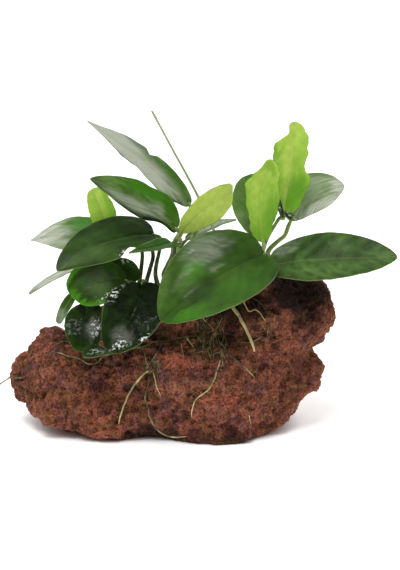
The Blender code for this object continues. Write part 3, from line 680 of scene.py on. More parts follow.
# The tints of each blade by their kind: a painted sheen (painted_sheen), fresher green (glow), paler green
# (light), nearly black (shade) and painted white glints of light on wet spots (glint). On mature blades glow
# and light are partly the blade's own green and partly painted light, and shade is partly its own black and
# partly painted shade. Each has its middle across and along the blade, its reach across and along it, and
# its strength.
TINTS = {
    "front_broad": {
        "painted_sheen": [(0.66, 0.40, 0.34, 0.19, 0.26), (0.75, 0.53, 0.07, 0.03, 0.60),
                  (0.18, 0.44, 0.05, 0.08, 0.20), (0.07, 0.69, 0.04, 0.07, 0.20),
                  (0.50, 0.68, 0.06, 0.09, 0.16)],
        "light": [(0.85, 0.86, 0.30, 0.12, 0.20), (0.35, 0.68, 0.22, 0.10, 0.25)],
        "glow": [(0.42, 0.58, 0.22, 0.11, 0.75), (-0.65, 0.82, 0.35, 0.13, 0.80),
                 (-0.60, 0.38, 0.40, 0.26, 0.35)],
        "shade": [(0.20, 0.14, 0.70, 0.14, 0.35), (-0.05, 0.62, 0.22, 0.16, 0.22),
                  (-0.30, 0.78, 0.05, 0.18, 0.50)],
    },
    "right_long": {
        "light": [(0.50, 0.45, 0.50, 0.45, 0.25), (0.00, 0.90, 1.00, 0.12, 0.30),
                  (0.45, 0.30, 0.22, 0.10, 0.40), (-0.50, 0.57, 0.35, 0.10, 0.20)],
        "painted_sheen": [(-0.70, 0.10, 0.35, 0.09, 0.20)],
        "shade": [(-0.55, 0.34, 0.40, 0.14, 0.35)],
    },
    "right_back": {
        "painted_sheen": [(0.00, 0.97, 1.50, 0.16, 0.85), (0.80, 0.45, 0.42, 0.60, 0.80),
                  (0.20, 0.12, 0.80, 0.16, 0.55), (-0.55, 0.70, 0.25, 0.28, 0.45),
                  (0.00, 0.50, 1.00, 0.60, 0.28)],
        "glow": [(-0.10, 0.45, 0.28, 0.34, 0.22)],
        "shade": [(0.38, 0.42, 0.10, 0.26, 0.25)],
    },
    "centre_back": {
        "light": [(-0.80, 0.60, 0.50, 0.40, 0.40)],
        "shade": [(0.00, 0.16, 1.00, 0.24, 0.40)],
    },
    "upper_left": {
        "painted_sheen": [(-0.20, 0.82, 2.00, 0.38, 0.92), (-0.40, 0.42, 0.85, 0.34, 0.90)],
        "glow": [(0.80, 0.28, 0.45, 0.20, 0.60)],
        "shade": [(0.10, 0.06, 0.60, 0.07, 0.40), (-0.95, 0.07, 0.40, 0.08, 0.90),
                  (1.00, 0.58, 0.34, 0.13, 0.55), (-1.00, 0.66, 0.10, 0.24, 0.60)],
    },
    "left_upper": {
        "shade": [(-0.98, 0.30, 0.42, 0.34, 0.88)],
        "glow": [(0.75, 0.46, 0.40, 0.28, 0.90), (0.80, 0.14, 0.50, 0.12, 0.70)],
        "light": [(0.50, 0.80, 0.70, 0.14, 0.50)],
        "painted_sheen": [(-0.42, 0.54, 0.48, 0.34, 0.42), (0.15, 0.28, 0.32, 0.14, 0.36)],
    },
    "left_far": {
        "painted_sheen": [(-0.10, 0.92, 1.50, 0.34, 1.00)],
        "glow": [(0.60, 0.42, 0.60, 0.22, 1.00)],
    },
    "left_dark": {
        "light": [(-0.30, 0.76, 0.42, 0.26, 0.25)],
        "painted_sheen": [(0.00, 0.92, 0.60, 0.10, 0.08)],
        "shade": [(1.00, 0.35, 0.30, 0.35, 0.45)],
        "glint": [(-0.95, 0.42, 0.14, 0.05, 0.90)],
    },
    "left_low": {
        "painted_sheen": [(0.00, 0.50, 3.00, 1.20, 1.00)],
        "shade": [(0.00, 1.00, 3.00, 0.12, 0.60), (-1.00, 0.40, 0.30, 0.60, 0.60)],
    },
    "small_flat": {
        "shade": [(0.00, 0.50, 1.20, 0.60, 0.60)],
        "glow": [(-0.10, 0.55, 1.20, 0.70, 0.90)],
        "light": [(1.00, 0.38, 0.14, 0.45, 0.90)],
    },
    "left_round": {
        "glow": [(-0.10, 1.00, 1.20, 0.09, 1.00), (-0.98, 0.80, 0.24, 0.24, 1.00),
                 (0.98, 0.70, 0.20, 0.34, 1.00)],
        "light": [(-1.00, 0.80, 0.14, 0.22, 0.45), (1.00, 0.72, 0.14, 0.30, 0.50)],
        "painted_sheen": [(0.00, 0.50, 0.60, 0.32, 0.06)],
        "shade": [(0.65, 0.80, 0.16, 0.30, 0.45)],
        "glint": [(-0.86, 0.36, 0.24, 0.30, 1.00)],
    },
    "low_left": {
        "shade": [(0.00, 0.40, 1.50, 0.80, 0.85)],
        "glow": [(0.85, 0.45, 0.20, 0.35, 0.45)],
        "painted_sheen": [(-0.40, 0.62, 0.40, 0.20, 0.16)],
        "glint": [(-0.60, 0.62, 0.30, 0.18, 0.60)],
    },
    "low_middle": {
        "shade": [(0.00, 0.35, 1.50, 0.80, 0.95)],
        "glow": [(0.90, 0.50, 0.12, 0.30, 0.40)],
        "painted_sheen": [(-0.10, 0.80, 0.50, 0.12, 0.16)],
        "glint": [(-0.35, 0.88, 0.35, 0.07, 1.00), (0.92, 0.28, 0.16, 0.16, 1.00),
                  (-0.92, 0.68, 0.12, 0.07, 1.00)],
    },
    "low_small": {
        "shade": [(0.00, 0.40, 1.50, 0.80, 0.50)],
        "glint": [(0.00, 0.50, 0.60, 0.30, 0.55)],
    },
    "shaded": {
        "shade": [(0.00, 0.50, 1.50, 0.90, 0.45)],
        "glint": [(0.80, 0.60, 0.15, 0.20, 0.40)],
    },
    "drooping": {
        "painted_sheen": [(0.00, 0.80, 1.20, 0.25, 0.30)],
    },
    "behind_centre": {
        "painted_sheen": [(-0.15, 0.55, 0.60, 0.50, 0.50)],
    },
    "sheath": {
        "shade": [(0.00, 0.40, 1.20, 0.70, 0.60)],
        "glint": [(0.10, 0.40, 0.50, 0.40, 1.00)],
    },
    "curled_edge": {
        "glint": [(0.20, 0.60, 0.50, 0.30, 1.00)],
        "shade": [(-0.50, 0.70, 0.60, 0.40, 0.60)],
        "light": [(0.00, 0.10, 1.00, 0.18, 0.80)],
    },
    "young_short": {
        "glow": [(0.70, 0.35, 0.50, 0.30, 0.65), (0.00, 0.92, 0.80, 0.08, 0.60)],
        "light": [(-0.40, 0.55, 0.30, 0.30, 0.25)],
    },
    "young_tall": {
        "glow": [(0.55, 0.22, 0.60, 0.24, 0.90), (-0.80, 0.64, 0.30, 0.07, 0.50)],
        "light": [(-0.15, 0.55, 0.30, 0.40, 0.45), (0.00, 0.93, 1.00, 0.10, 0.50)],
    },
    "young_centre": {
        "light": [(0.00, 0.15, 1.00, 0.25, 0.90)],
    },
    "small_yellow": {
        "glow": [(0.80, 0.50, 0.40, 0.40, 0.60)],
    },
}
LEAF_LAYERS = ("across", "along", "out", "vein", "tone", "veins", "streaks", "wet", "rib", "painted_sheen", "glow",
               "light", "shade", "glint")
TINT_DRIFT = 0.10  # how far a tint's edge strays
BLADE_ACROSS = 36
BLADE_ALONG = 64
BASE_NECK = 0.9
TIP_NECK = 0.3
BASE_ROUNDNESS = 0.5
DENT_REACH = 0.12
LOBE_REACH = 0.25
CURL_WIDTH = 0.42  # the share of a half that a curled margin takes at the base
LEFT_PHASE = 2.6
RIGHT_PHASE = 0.8
VEIN_SLANT = 0.75
VEIN_BEND = 0.30
FULL_RELIEF = 6  # half the width from which a blade has its whole relief
GROOVE_WIDTH = 0.9
SWELL = 0.6  # height of the broad swellings, about 12 mm wide
EDGE_STRAY = 0.35  # how far the margin strays up and down
DIMPLE_WIDTH = 2.1
RIB_WIDTH = 1.6  # of the thick part along the midrib
THIN = 0.45  # thickness of the flat of a blade, over that at the midrib
MARGIN_LOSS = 0.2  # of thickness at the margin
THINNEST = 0.1
TINT_GRAIN = (2.0, 7.0)  # size across and along of the strayings of a tint's edge
FOLDED_SHADE = 0.9  # how dark a margin is that bends down
FOLDED_EDGE = 0.04  # the share of the half over which it darkens
UNDER_VEIN = linear("#A6B07C")
YOUNG_VEIN = linear("#C9DA83")
BOX_SLACK = 1.8  # how far a blade's box may be from its node's


class LeafSettings(bpy.types.PropertyGroup):
    """The blades' thickness, veins and colours."""

    thickness: length_property("Thickness", "Thickness of a blade along its midrib", 0.75)
    quilting: length_property("Quilting", "Height of the swelling between two strong side veins", 0.12)
    groove: length_property("Midrib groove", "Depth of the groove along the midrib", 0.4)
    dimples: length_property("Dimples", "Height of the dimples on a wet blade", 0.10)
    deep: colour_property("Deep green", "A mature blade's darkest green", "#253C15")
    green: colour_property("Green", "A mature blade's middle green", "#42671F")
    pale: colour_property("Pale green", "The lighter green of thin and lit blades", "#84A35F")
    # A painted sheen: the white room's reflection painted into the blade's colour
    painted_sheen: colour_property("Painted sheen", "The silvery wax bloom", "#DCDED0")
    glint: colour_property("Glint", "The white of the light on drops of water", "#F4F6F2")
    # Partly a soft blade's own green, and partly painted light shining through thin edges
    glow: colour_property("Fresh green and painted light", "The saturated green of soft parts", "#47851C")
    # Partly an old blade's own near-black, and partly painted shade in folds, creases and gaps
    shade: colour_property("Black green and painted shade", "The nearly black green of the oldest parts", "#10180A")
    # On a mature blade's margin it is painted rim light
    vein: colour_property("Vein", "The pale green of veins and margins", "#A9AE7E")
    # Its own brown, and painted shade in the midrib's groove
    crease: colour_property("Crease", "The brown of a deep midrib", "#2E2C14")
    under: colour_property("Underside", "The dull paler underside", "#5C7447")
    young: colour_property("Young green", "A new blade's fresh green", "#78AE20")
    yellow: colour_property("Young yellow", "The yellower green of the newest blades", "#C6DA64")
    leafy: colour_property("Young deep green", "The greener parts of a new blade", "#5F9C14")
    rim: colour_property("Young rim", "The olive margin of a new blade", "#647E26")


def squared(direction, axis):
    """The direction at right angles to the axis."""
    return (direction - direction.dot(axis) * axis).normalized()


def outline(leaf, across, along):
    """The half width of the blade on one side, as a share of its greatest."""
    sharpness = BASE_ROUNDNESS + (leaf.blunt - BASE_ROUNDNESS) * along
    share = math.sin(math.pi * along ** leaf.full) ** sharpness
    for side, place, depth, *reach in leaf.dents:
        if across * side > 0:
            share *= 1 - depth * math.exp(-((along - place) / (reach[0] if reach else DENT_REACH)) ** 2)
    return share


def curled(leaf, across, along):
    """The share of the half that lies past the crease of a margin that bends down."""
    if not leaf.curl or across * leaf.curl[0] <= 0 or along >= leaf.curl[2]:
        return 0.0
    crease = 1 - CURL_WIDTH * (1 - along / leaf.curl[2]) ** 0.8
    return max(0.0, abs(across) - crease)


def midrib(leaf, along):
    """The midrib's place and direction, the blade's side and the way that it looks there."""
    base, tip = millimetres(*leaf.base), millimetres(*leaf.tip)
    chord = (tip - base).normalized()
    face = squared(Vector(leaf.face), chord)
    pull = (base + tip) / 2 + (face * leaf.arch + chord.cross(face) * leaf.sweep) * 2 * MM
    place = base * (1 - along) ** 2 + pull * 2 * along * (1 - along) + tip * along ** 2
    heading = ((pull - base) * (1 - along) + (tip - pull) * along).normalized()
    up = squared(face, heading)
    up.rotate(Matrix.Rotation(math.radians(leaf.twist) * (along - 0.5), 3, heading))
    return place, heading, heading.cross(up), up


def vein_phase(leaf, out, half, along):
    """Which side vein passes here. Veins leave the midrib at a slant and bend towards the tip."""
    length = (Vector(leaf.tip) - Vector(leaf.base)).length
    reach = abs(out)
    start = along * length - VEIN_SLANT * reach - VEIN_BEND * reach ** 2 / max(half, 1.0)
    return start / leaf.spacing


def blade_point(leaf, settings, across, along):
    """The place of a point of the blade, its distance from the midrib and the side vein that it is at."""
    place, heading, side, up = midrib(leaf, along)
    share = outline(leaf, across, along)
    half = max(leaf.width / 2 * share, BASE_NECK if along < 0.5 else TIP_NECK)
    seed = Vector(leaf.base)
    stray = noise.fractal(seed + Vector((along * 12, math.copysign(4, across), 0)), 1.0, 2.0, 2)
    room = min(1.0, half / FULL_RELIEF)
    out = across * (half + leaf.crinkle * stray * across ** 2 * room)
    fold = math.radians(leaf.fold)
    phase = RIGHT_PHASE if across > 0 else LEFT_PHASE
    ripple = leaf.wave * share * across ** 2 * math.sin(2 * math.pi * leaf.waves * along + phase)
    back = leaf.lobes * share * across ** 2 * max(0, 1 - along / LOBE_REACH) ** 2
    vein = vein_phase(leaf, out, half, along)
    fade = smooth_step(0.5, 3.0, abs(out)) * (1 - 0.7 * across ** 4) * room * leaf.veins
    quilt = settings.quilting / MM * math.cos(2 * math.pi * vein) * fade
    groove = settings.groove / MM * math.exp(-(out / GROOVE_WIDTH) ** 2) * min(1.0, half / 5)
    spot = place / MM + side * out
    swell = SWELL * noise.noise((spot + seed) / 12.0) * room
    edge = EDGE_STRAY * noise.noise((spot - seed) / 4.0) * across ** 4 * room
    dimple = settings.dimples / MM * leaf.wet * noise.noise((spot + seed) / DIMPLE_WIDTH) * room
    rise = abs(out) * math.sin(fold) + ripple + quilt - groove + swell + edge + dimple
    bent = curled(leaf, across, along) * half
    turn = math.radians(leaf.curl[1]) if bent else 0.0
    rise -= bent * math.sin(turn)
    level = out - math.copysign(bent * (1 - math.cos(turn)), across)
    shift = side * level * math.cos(fold) + up * rise - heading * back
    return place + shift * MM, out, vein


def vein_lines(tree, vein, out, vein_width, rib_edge, rib_core, **settings):
    """How near each place is to a side vein, and how far it is one or the midrib."""
    fold = wire(tree, "Math", {0: vein, 1: 0.5}, operation="PINGPONG")
    line = wire(tree, "MapRange", {"Value": fold, "From Min": vein_width, "From Max": 0.0}, **settings)
    away = wire(tree, "Math", {0: out}, operation="ABSOLUTE")
    rib = wire(tree, "MapRange", {"Value": away, "From Min": rib_edge, "From Max": rib_core}, **settings)
    return fold, line, rib


def mature_leaf_finish(settings, label="waxed_mature_leaf", sheen=0.12):
    """A mature anubias blade: thick, leathery and waxed, deep green, with paler veins and a wet sheen.

    An old blade is the same under a film of water, with less sheen of its own.
    """
    made, tree, shader = new_material(label)
    place = wire(tree, "TexCoord", output="Object")
    chart = wire(tree, "Attribute", attribute_name="chart", output="Vector")
    values = {name: wire(tree, "Attribute", attribute_name=name, output="Fac") for name in LEAF_LAYERS}
    drift, cloud, speck = (
        wire(tree, "TexNoise", {"Vector": place, "Scale": 1 / (width * MM), "Detail": 3.0}, "Fac")
        for width in (11, 4, 1.1))

    wobble = wire(tree, "Math", {0: drift, 1: 1.1}, operation="MULTIPLY")
    shifted = wire(tree, "Math", {0: values["vein"], 1: wobble}, operation="ADD")
    fold, line, rib = vein_lines(tree, shifted, values["out"], vein_width=0.07, rib_edge=0.6, rib_core=0.2,
                                 interpolation_type="SMOOTHSTEP")
    band = wire(tree, "MapRange", {"Value": fold, "From Min": 0.08, "From Max": 0.45},
                interpolation_type="SMOOTHSTEP")
    shown = wire(tree, "MapRange", {"Value": cloud, "From Min": 0.38, "From Max": 0.58})
    shown = wire(tree, "Math", {0: shown, 1: values["veins"]}, operation="MULTIPLY")
    # Fine veins between the side veins, about 1.5 mm apart
    hair = wire(tree, "Math", {0: shifted, 1: 4.0}, operation="MULTIPLY")
    hair = wire(tree, "Math", {0: hair, 1: 0.5}, operation="PINGPONG")
    hair = wire(tree, "MapRange", {"Value": hair, "From Min": 0.16, "From Max": 0.0})
    margin = wire(tree, "Math", {0: values["across"]}, operation="ABSOLUTE")
    margin = wire(tree, "MapRange", {"Value": margin, "From Min": 0.965, "From Max": 1.0})
    # Fine lines along the blade, about 0.7 mm apart and 16 mm long
    lined = wire(tree, "VectorMath", {0: chart, 1: (1 / 0.7, 1 / 16, 1.0)}, operation="MULTIPLY")
    lines = wire(tree, "TexNoise", {"Vector": lined, "Scale": 1.0, "Detail": 2.0}, "Fac")
    lines = wire(tree, "MapRange", {"Value": lines, "From Min": 0.35, "From Max": 0.65})
    lines = wire(tree, "Math", {0: lines, 1: values["streaks"]}, operation="MULTIPLY")

    skin = toned(tree, values["tone"], drift, (settings.deep, settings.green, settings.pale),
                 spread=0.2, middle=0.6, end=1.15)
    # Streaks along the side veins, about 1.5 mm wide and 7 mm long
    veined = wire(tree, "Math", {0: shifted, 1: 5.0}, operation="MULTIPLY")
    reach = wire(tree, "Math", {0: values["out"], 1: 1 / 7}, operation="MULTIPLY")
    brushed = wire(tree, "CombineXYZ", {"X": veined, "Y": reach, "Z": drift})
    brushed = wire(tree, "Mix", {"Factor": values["streaks"], 4: brushed, 5: lined}, 1, data_type="VECTOR")
    brush = wire(tree, "TexNoise", {"Vector": brushed, "Scale": 1.0, "Detail": 3.0}, "Fac")
    patchy = wire(tree, "MapRange",
                  {"Value": brush, "From Min": 0.36, "From Max": 0.64, "To Min": 0.6, "To Max": 1.15})
    cloudy = wire(tree, "MapRange",
                  {"Value": cloud, "From Min": 0.35, "From Max": 0.6, "To Min": 0.75, "To Max": 1.1})
    # A broken film of water, in drops about 1 mm wide, which also places the painted glints
    film = wire(tree, "TexNoise", {"Vector": place, "Scale": 1 / (1.2 * MM), "Detail": 2.0}, "Fac")
    film = wire(tree, "MapRange", {"Value": film, "From Min": 0.53, "From Max": 0.60})
    # Tints over the skin: paler and fresh green, partly own colour and partly painted light; shade, partly
    # own black and partly painted shade; a painted sheen; painted glints
    for kind, colour, texture in (("light", settings.pale, patchy), ("glow", settings.glow, cloudy),
                                  ("shade", settings.shade, cloudy), ("painted_sheen", settings.painted_sheen, patchy),
                                  ("glint", settings.glint, film)):
        share = wire(tree, "Math", {0: values[kind], 1: texture}, operation="MULTIPLY", use_clamp=True)
        skin = wire(tree, "Mix", {"Factor": share, "A": skin, "B": colour}, "Result", data_type="RGBA")
    # Darker bands between the side veins, painted light and shade of the quilted surface, and the fine lines
    # along the blade
    dim = wire(tree, "Math", {0: band, 1: shown}, operation="MULTIPLY")
    dim = wire(tree, "MapRange", {"Value": dim, "To Min": 1.06, "To Max": 0.66})
    streaked = wire(tree, "MapRange", {"Value": lines, "To Min": 1.0, "To Max": 0.66})
    dim = wire(tree, "Math", {0: dim, 1: streaked}, operation="MULTIPLY")
    skin = wire(tree, "Mix", {"Factor": 1.0, "A": skin, "B": dim}, "Result", data_type="RGBA",
                blend_type="MULTIPLY")
    # Under 0, rib darkens the midrib with the crease brown: its own colour and painted shade in the groove
    ribbed = wire(tree, "Math", {0: rib, 1: values["rib"]}, operation="MULTIPLY")
    creased = wire(tree, "Math", {0: ribbed, 1: -1.0}, operation="MULTIPLY", use_clamp=True)
    # Side veins and fine veins hardly paler than the blade, and a paler margin of painted rim light
    pale = ribbed
    for mark, extent, strength in ((line, shown, 0.05), (hair, shown, 0.04), (margin, 1.0, 0.4)):
        mark = wire(tree, "Math", {0: mark, 1: extent}, operation="MULTIPLY")
        mark = wire(tree, "Math", {0: mark, 1: strength}, operation="MULTIPLY")
        pale = wire(tree, "Math", {0: pale, 1: mark}, operation="MAXIMUM")
    for share, colour in ((creased, settings.crease), (pale, settings.vein)):
        skin = wire(tree, "Mix", {"Factor": share, "A": skin, "B": colour}, "Result", data_type="RGBA")

    ripple = wire(tree, "Math", {0: film, 1: values["wet"]}, operation="MULTIPLY")
    relief = wire(tree, "Math", {0: hair, 1: -0.4}, operation="MULTIPLY")
    for part in (speck, ripple):
        relief = wire(tree, "Math", {0: relief, 1: part}, operation="ADD")
    bump = wire(tree, "Bump", {"Height": relief, "Strength": 0.3, "Distance": 0.12 * MM})
    dull = wire(tree, "MapRange",
                {"Value": speck, "From Min": 0.3, "From Max": 0.7, "To Min": 0.30, "To Max": 0.46})
    slick = wire(tree, "MapRange", {"Value": values["wet"], "To Min": 1.0, "To Max": 0.7})
    gloss = wire(tree, "Math", {0: dull, 1: slick}, operation="MULTIPLY")
    coat = wire(tree, "Math", {0: ripple, 1: 0.25}, operation="MULTIPLY")
    feed(tree, shader, {"Base Color": skin, "Normal": bump, "Roughness": gloss, "IOR": 1.45,
                        "Specular IOR Level": sheen, "Coat Weight": coat, "Coat Roughness": 0.08,
                        "Subsurface Weight": 0.08, "Subsurface Radius": (0.3, 0.9, 0.1),
                        "Subsurface Scale": 1.0 * MM})
    return made


def leaf_underside_finish(settings):
    """The underside of a blade: matte and paler, with its veins standing proud."""
    made, tree, shader = new_material("matte_leaf_underside")
    place = wire(tree, "TexCoord", output="Object")
    vein, out, tone = (wire(tree, "Attribute", attribute_name=name, output="Fac")
                       for name in ("vein", "out", "tone"))
    drift = wire(tree, "TexNoise", {"Vector": place, "Scale": 1 / (9 * MM), "Detail": 4.0}, "Fac")
    _, line, rib = vein_lines(tree, vein, out, vein_width=0.10, rib_edge=1.0, rib_core=0.4)
    lines = wire(tree, "Math", {0: line, 1: rib}, operation="MAXIMUM")
    dull = wire(tree, "Math", {0: drift, 1: tone}, operation="MULTIPLY")
    skin = wire(tree, "Mix", {"Factor": dull, "A": settings.green, "B": settings.under}, "Result",
                data_type="RGBA")
    pale = wire(tree, "Math", {0: lines, 1: 0.35}, operation="MULTIPLY")
    skin = wire(tree, "Mix", {"Factor": pale, "A": skin, "B": UNDER_VEIN}, "Result", data_type="RGBA")
    bump = wire(tree, "Bump", {"Height": lines, "Strength": 0.5, "Distance": 0.2 * MM})
    gloss = wire(tree, "MapRange", {"Value": drift, "To Min": 0.45, "To Max": 0.6})
    feed(tree, shader, {"Base Color": skin, "Normal": bump, "Roughness": gloss})
    return made


def young_leaf_finish(settings):
    """A new blade: thin, soft and fresh green to yellow, hardly waxed, with light glowing through it."""
    made, tree, shader = new_material("soft_young_leaf")
    place = wire(tree, "TexCoord", output="Object")
    values = {name: wire(tree, "Attribute", attribute_name=name, output="Fac")
              for name in ("across", "along", "out", "vein", "tone", "light", "glow")}
    drift, cloud, speck = (
        wire(tree, "TexNoise", {"Vector": place, "Scale": 1 / (width * MM), "Detail": detail}, "Fac")
        for width, detail in ((8, 3.0), (3, 4.0), (0.9, 2.0)))
    age = wire(tree, "MapRange", {"Value": values["along"], "To Min": -0.3, "To Max": 0.25})
    age = wire(tree, "Math", {0: age, 1: values["tone"]}, operation="ADD")
    shift = wire(tree, "MapRange",
                 {"Value": drift, "From Min": 0.35, "From Max": 0.65, "To Min": -0.1, "To Max": 0.1})
    age = wire(tree, "Math", {0: age, 1: shift}, operation="ADD", use_clamp=True)
    skin = wire(tree, "Mix", {"Factor": age, "A": settings.young, "B": settings.yellow}, "Result",
                data_type="RGBA")
    patchy = wire(tree, "MapRange",
                  {"Value": cloud, "From Min": 0.38, "From Max": 0.62, "To Min": 0.8, "To Max": 1.1})
    # The light tints, yellower, are partly a new blade's own colour and partly painted light on faces turned
    # down; the glow tints are its greener parts
    for kind, colour in (("light", settings.yellow), ("glow", settings.leafy)):
        share = wire(tree, "Math", {0: values[kind], 1: patchy}, operation="MULTIPLY", use_clamp=True)
        skin = wire(tree, "Mix", {"Factor": share, "A": skin, "B": colour}, "Result", data_type="RGBA")
    mottle = wire(tree, "MapRange",
                  {"Value": cloud, "From Min": 0.38, "From Max": 0.62, "To Min": 0.93, "To Max": 1.06})
    skin = wire(tree, "Mix", {"Factor": 1.0, "A": skin, "B": mottle}, "Result", data_type="RGBA",
                blend_type="MULTIPLY")
    _, line, rib = vein_lines(tree, values["vein"], values["out"], vein_width=0.07, rib_edge=0.7,
                              rib_core=0.2)
    lines = wire(tree, "Math", {0: line, 1: 0.12}, operation="MULTIPLY")
    ribbed = wire(tree, "Math", {0: rib, 1: 0.18}, operation="MULTIPLY")
    lines = wire(tree, "Math", {0: lines, 1: ribbed}, operation="MAXIMUM")
    skin = wire(tree, "Mix", {"Factor": lines, "A": skin, "B": YOUNG_VEIN}, "Result", data_type="RGBA")
    margin = wire(tree, "Math", {0: values["across"]}, operation="ABSOLUTE")
    margin = wire(tree, "MapRange", {"Value": margin, "From Min": 0.93, "From Max": 1.0, "To Max": 0.55})
    skin = wire(tree, "Mix", {"Factor": margin, "A": skin, "B": settings.rim}, "Result", data_type="RGBA")
    bump = wire(tree, "Bump", {"Height": speck, "Strength": 0.2, "Distance": 0.1 * MM})
    gloss = wire(tree, "MapRange", {"Value": speck, "To Min": 0.4, "To Max": 0.55})
    feed(tree, shader, {"Base Color": skin, "Normal": bump, "Roughness": gloss, "IOR": 1.42,
                        "Specular IOR Level": 0.3, "Subsurface Weight": 0.25,
                        "Subsurface Radius": (0.6, 1.0, 0.15), "Subsurface Scale": 1.2 * MM})
    return made


def check_box(made, node):
    """Stop if a piece isn't where its node is."""
    low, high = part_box(node)
    for axis in range(3):
        places = [vert.co[axis] for vert in made.data.vertices]
        gap = max(abs(min(places) - low[axis]), abs(max(places) - high[axis]))
        if gap > BOX_SLACK * MM:
            raise RuntimeError(f"{made.name} is {gap / MM:.2f} mm from {node} on axis {axis}")


def tinted(tints, across, along):
    """How strong the strongest of the tints is here."""
    strongest = 0.0
    for middle_across, middle_along, reach_across, reach_along, strength in tints:
        gap = ((across - middle_across) / reach_across) ** 2 + ((along - middle_along) / reach_along) ** 2
        strongest = max(strongest, strength * math.exp(-gap ** 2))
    return strongest


def leaf_blade(leaf, settings, top, under):
    """A fine grid bent to the blade's shape, thick along its midrib and thin at its margin."""
    grid = bmesh.new()
    bmesh.ops.create_grid(grid, x_segments=BLADE_ACROSS, y_segments=BLADE_ALONG, size=1.0)
    layers = {name: grid.verts.layers.float.new(name) for name in LEAF_LAYERS}
    chart = grid.verts.layers.float_vector.new("chart")
    length = (Vector(leaf.tip) - Vector(leaf.base)).length
    weights = grid.verts.layers.deform.verify()
    for vert in grid.verts:
        across = vert.co.x
        along = (1 - math.cos(math.pi * (vert.co.y + 1) / 2)) / 2
        vert.co, out, vein = blade_point(leaf, settings, across, along)
        own = (across, along, out, vein, leaf.tone, leaf.veins, leaf.streaks, leaf.wet, leaf.rib)
        for name, value in zip(layers, own):
            vert[layers[name]] = value
        vert[chart] = (out, along * length, leaf.base[0])
        spot = Vector((out / TINT_GRAIN[0], along * length / TINT_GRAIN[1], leaf.base[0]))
        stray = noise.noise_vector(spot) * TINT_DRIFT
        for kind, tints in TINTS.get(leaf.name, {}).items():
            vert[layers[kind]] = tinted(tints, across + stray.x, along + stray.y)
        # A margin that bends down is painted in shade
        folded = smooth_step(0.0, FOLDED_EDGE, curled(leaf, across, along))
        vert[layers["shade"]] = max(vert[layers["shade"]], FOLDED_SHADE * folded)
        # The painted sheen is taken off where shade is painted
        if leaf.finish != "old":
            vert[layers["painted_sheen"]] *= 1 - vert[layers["shade"]]
        thick = THIN + (1 - THIN) * math.exp(-(out / RIB_WIDTH) ** 2)
        vert[weights][0] = thick - MARGIN_LOSS * across ** 6
    made = finished(f"blade_{leaf.name}", grid, top, [f"leaf_{leaf.name}"] if leaf.node else ())
    made.data.materials.append(under)
    made.vertex_groups.new(name="body")
    wall = made.modifiers.new("thickness", "SOLIDIFY")
    wall.thickness = settings.thickness
    wall.offset = 0.0
    wall.vertex_group = "body"
    wall.thickness_vertex_group = THINNEST
    wall.material_offset = 1
    wall.material_offset_rim = 0
    if leaf.node:
        check_box(made, f"leaf_{leaf.name}")
    return made


class ANUBIAS_OT_leaves(bpy.types.Operator):
    """Build the mature and the young blades"""

    bl_idname = "anubias.leaves"
    bl_label = "Leaves"

    def execute(self, context):
        noise.seed_set(NOISE_SEED)
        settings = context.scene.anubias_leaves
        tops = {"mature": mature_leaf_finish(settings),
                "old": mature_leaf_finish(settings, "wet_old_leaf", sheen=0.03),
                "young": young_leaf_finish(settings)}
        dull = leaf_underside_finish(settings)
        for leaf in LEAVES:
            # Light shines through a young blade, so both its sides look the same
            under = tops["young"] if leaf.finish == "young" else dull
            leaf_blade(leaf, settings, tops[leaf.finish], under)
        return {"FINISHED"}


# ------------------------------------------------------------------------------------------------- the stalks


class StalkSettings(bpy.types.PropertyGroup):
    """The stalks' colours and joins."""

    join: length_property("Join", "How far a stalk runs into its blade and into the rhizome", 1.6)
    green: colour_property("Green", "A mature stalk's green", "#5F8232")
    pale: colour_property("Pale green", "The pale green of young stalks and of joints", "#A3B866")
    dark: colour_property("Dark green", "A shaded stalk's green", "#38431F")
    dry: colour_property("Dry", "The grey green of the stalk without a blade", "#A6AD8E")
    bare_girth: FloatProperty(name="Bare girth", default=1.35, min=0,
                              description="Thickness of the stalk without a blade over that of the part's")


def stalk_finish(settings):
    """A leaf stalk: firm, round and smooth, green with faint darker streaks along it."""
    made, tree, shader = new_material("smooth_leaf_stalk")
    place = wire(tree, "TexCoord", output="Object")
    along, tone, dry = (wire(tree, "Attribute", attribute_name=name, output="Fac")
                        for name in ("along", "tone", "dry"))
    drift = wire(tree, "TexNoise", {"Vector": place, "Scale": 1 / (2.2 * MM), "Detail": 4.0}, "Fac")
    joint = wire(tree, "MapRange", {"Value": along, "From Min": 0.86, "From Max": 0.98, "To Max": 0.35})
    skin = toned(tree, tone, drift, (settings.dark, settings.green, settings.pale), spread=0.2, middle=0.5)
    for share, colour in ((joint, settings.pale), (dry, settings.dry)):
        skin = wire(tree, "Mix", {"Factor": share, "A": skin, "B": colour}, "Result", data_type="RGBA")
    bump = wire(tree, "Bump", {"Height": drift, "Strength": 0.3, "Distance": 0.15 * MM})
    gloss = wire(tree, "MapRange", {"Value": drift, "To Min": 0.28, "To Max": 0.5})
    feed(tree, shader, {"Base Color": skin, "Normal": bump, "Roughness": gloss,
                        "Subsurface Weight": 0.1, "Subsurface Radius": (0.5, 1.0, 0.2),
                        "Subsurface Scale": 1.0 * MM})
    return made


STALK_TONES = {
    "young_short": 1.0, "young_tall": 0.6, "young_centre": 1.0, "left_upper": 0.6, "upper_left": 0.55,
    "bare": 0.8, "right_back": 0.8, "front_broad": 0.6, "right_long": 0.5, "behind_centre": 0.3,
}
SHADED_STALK_TONE = 0.15
STALK_SIDES = 12
STALK_TIP = 4  # rings
BARE_OVERRUN = 0.2  # how far the skin of the stalk without a blade runs past its node
FOOT_SWELL = 0.45
KNEE_SWELL = 0.18
KNEE_RINGS = 7  # between the knee's middle and the blade
SWELL_RINGS = 3
DRYNESS = 0.85


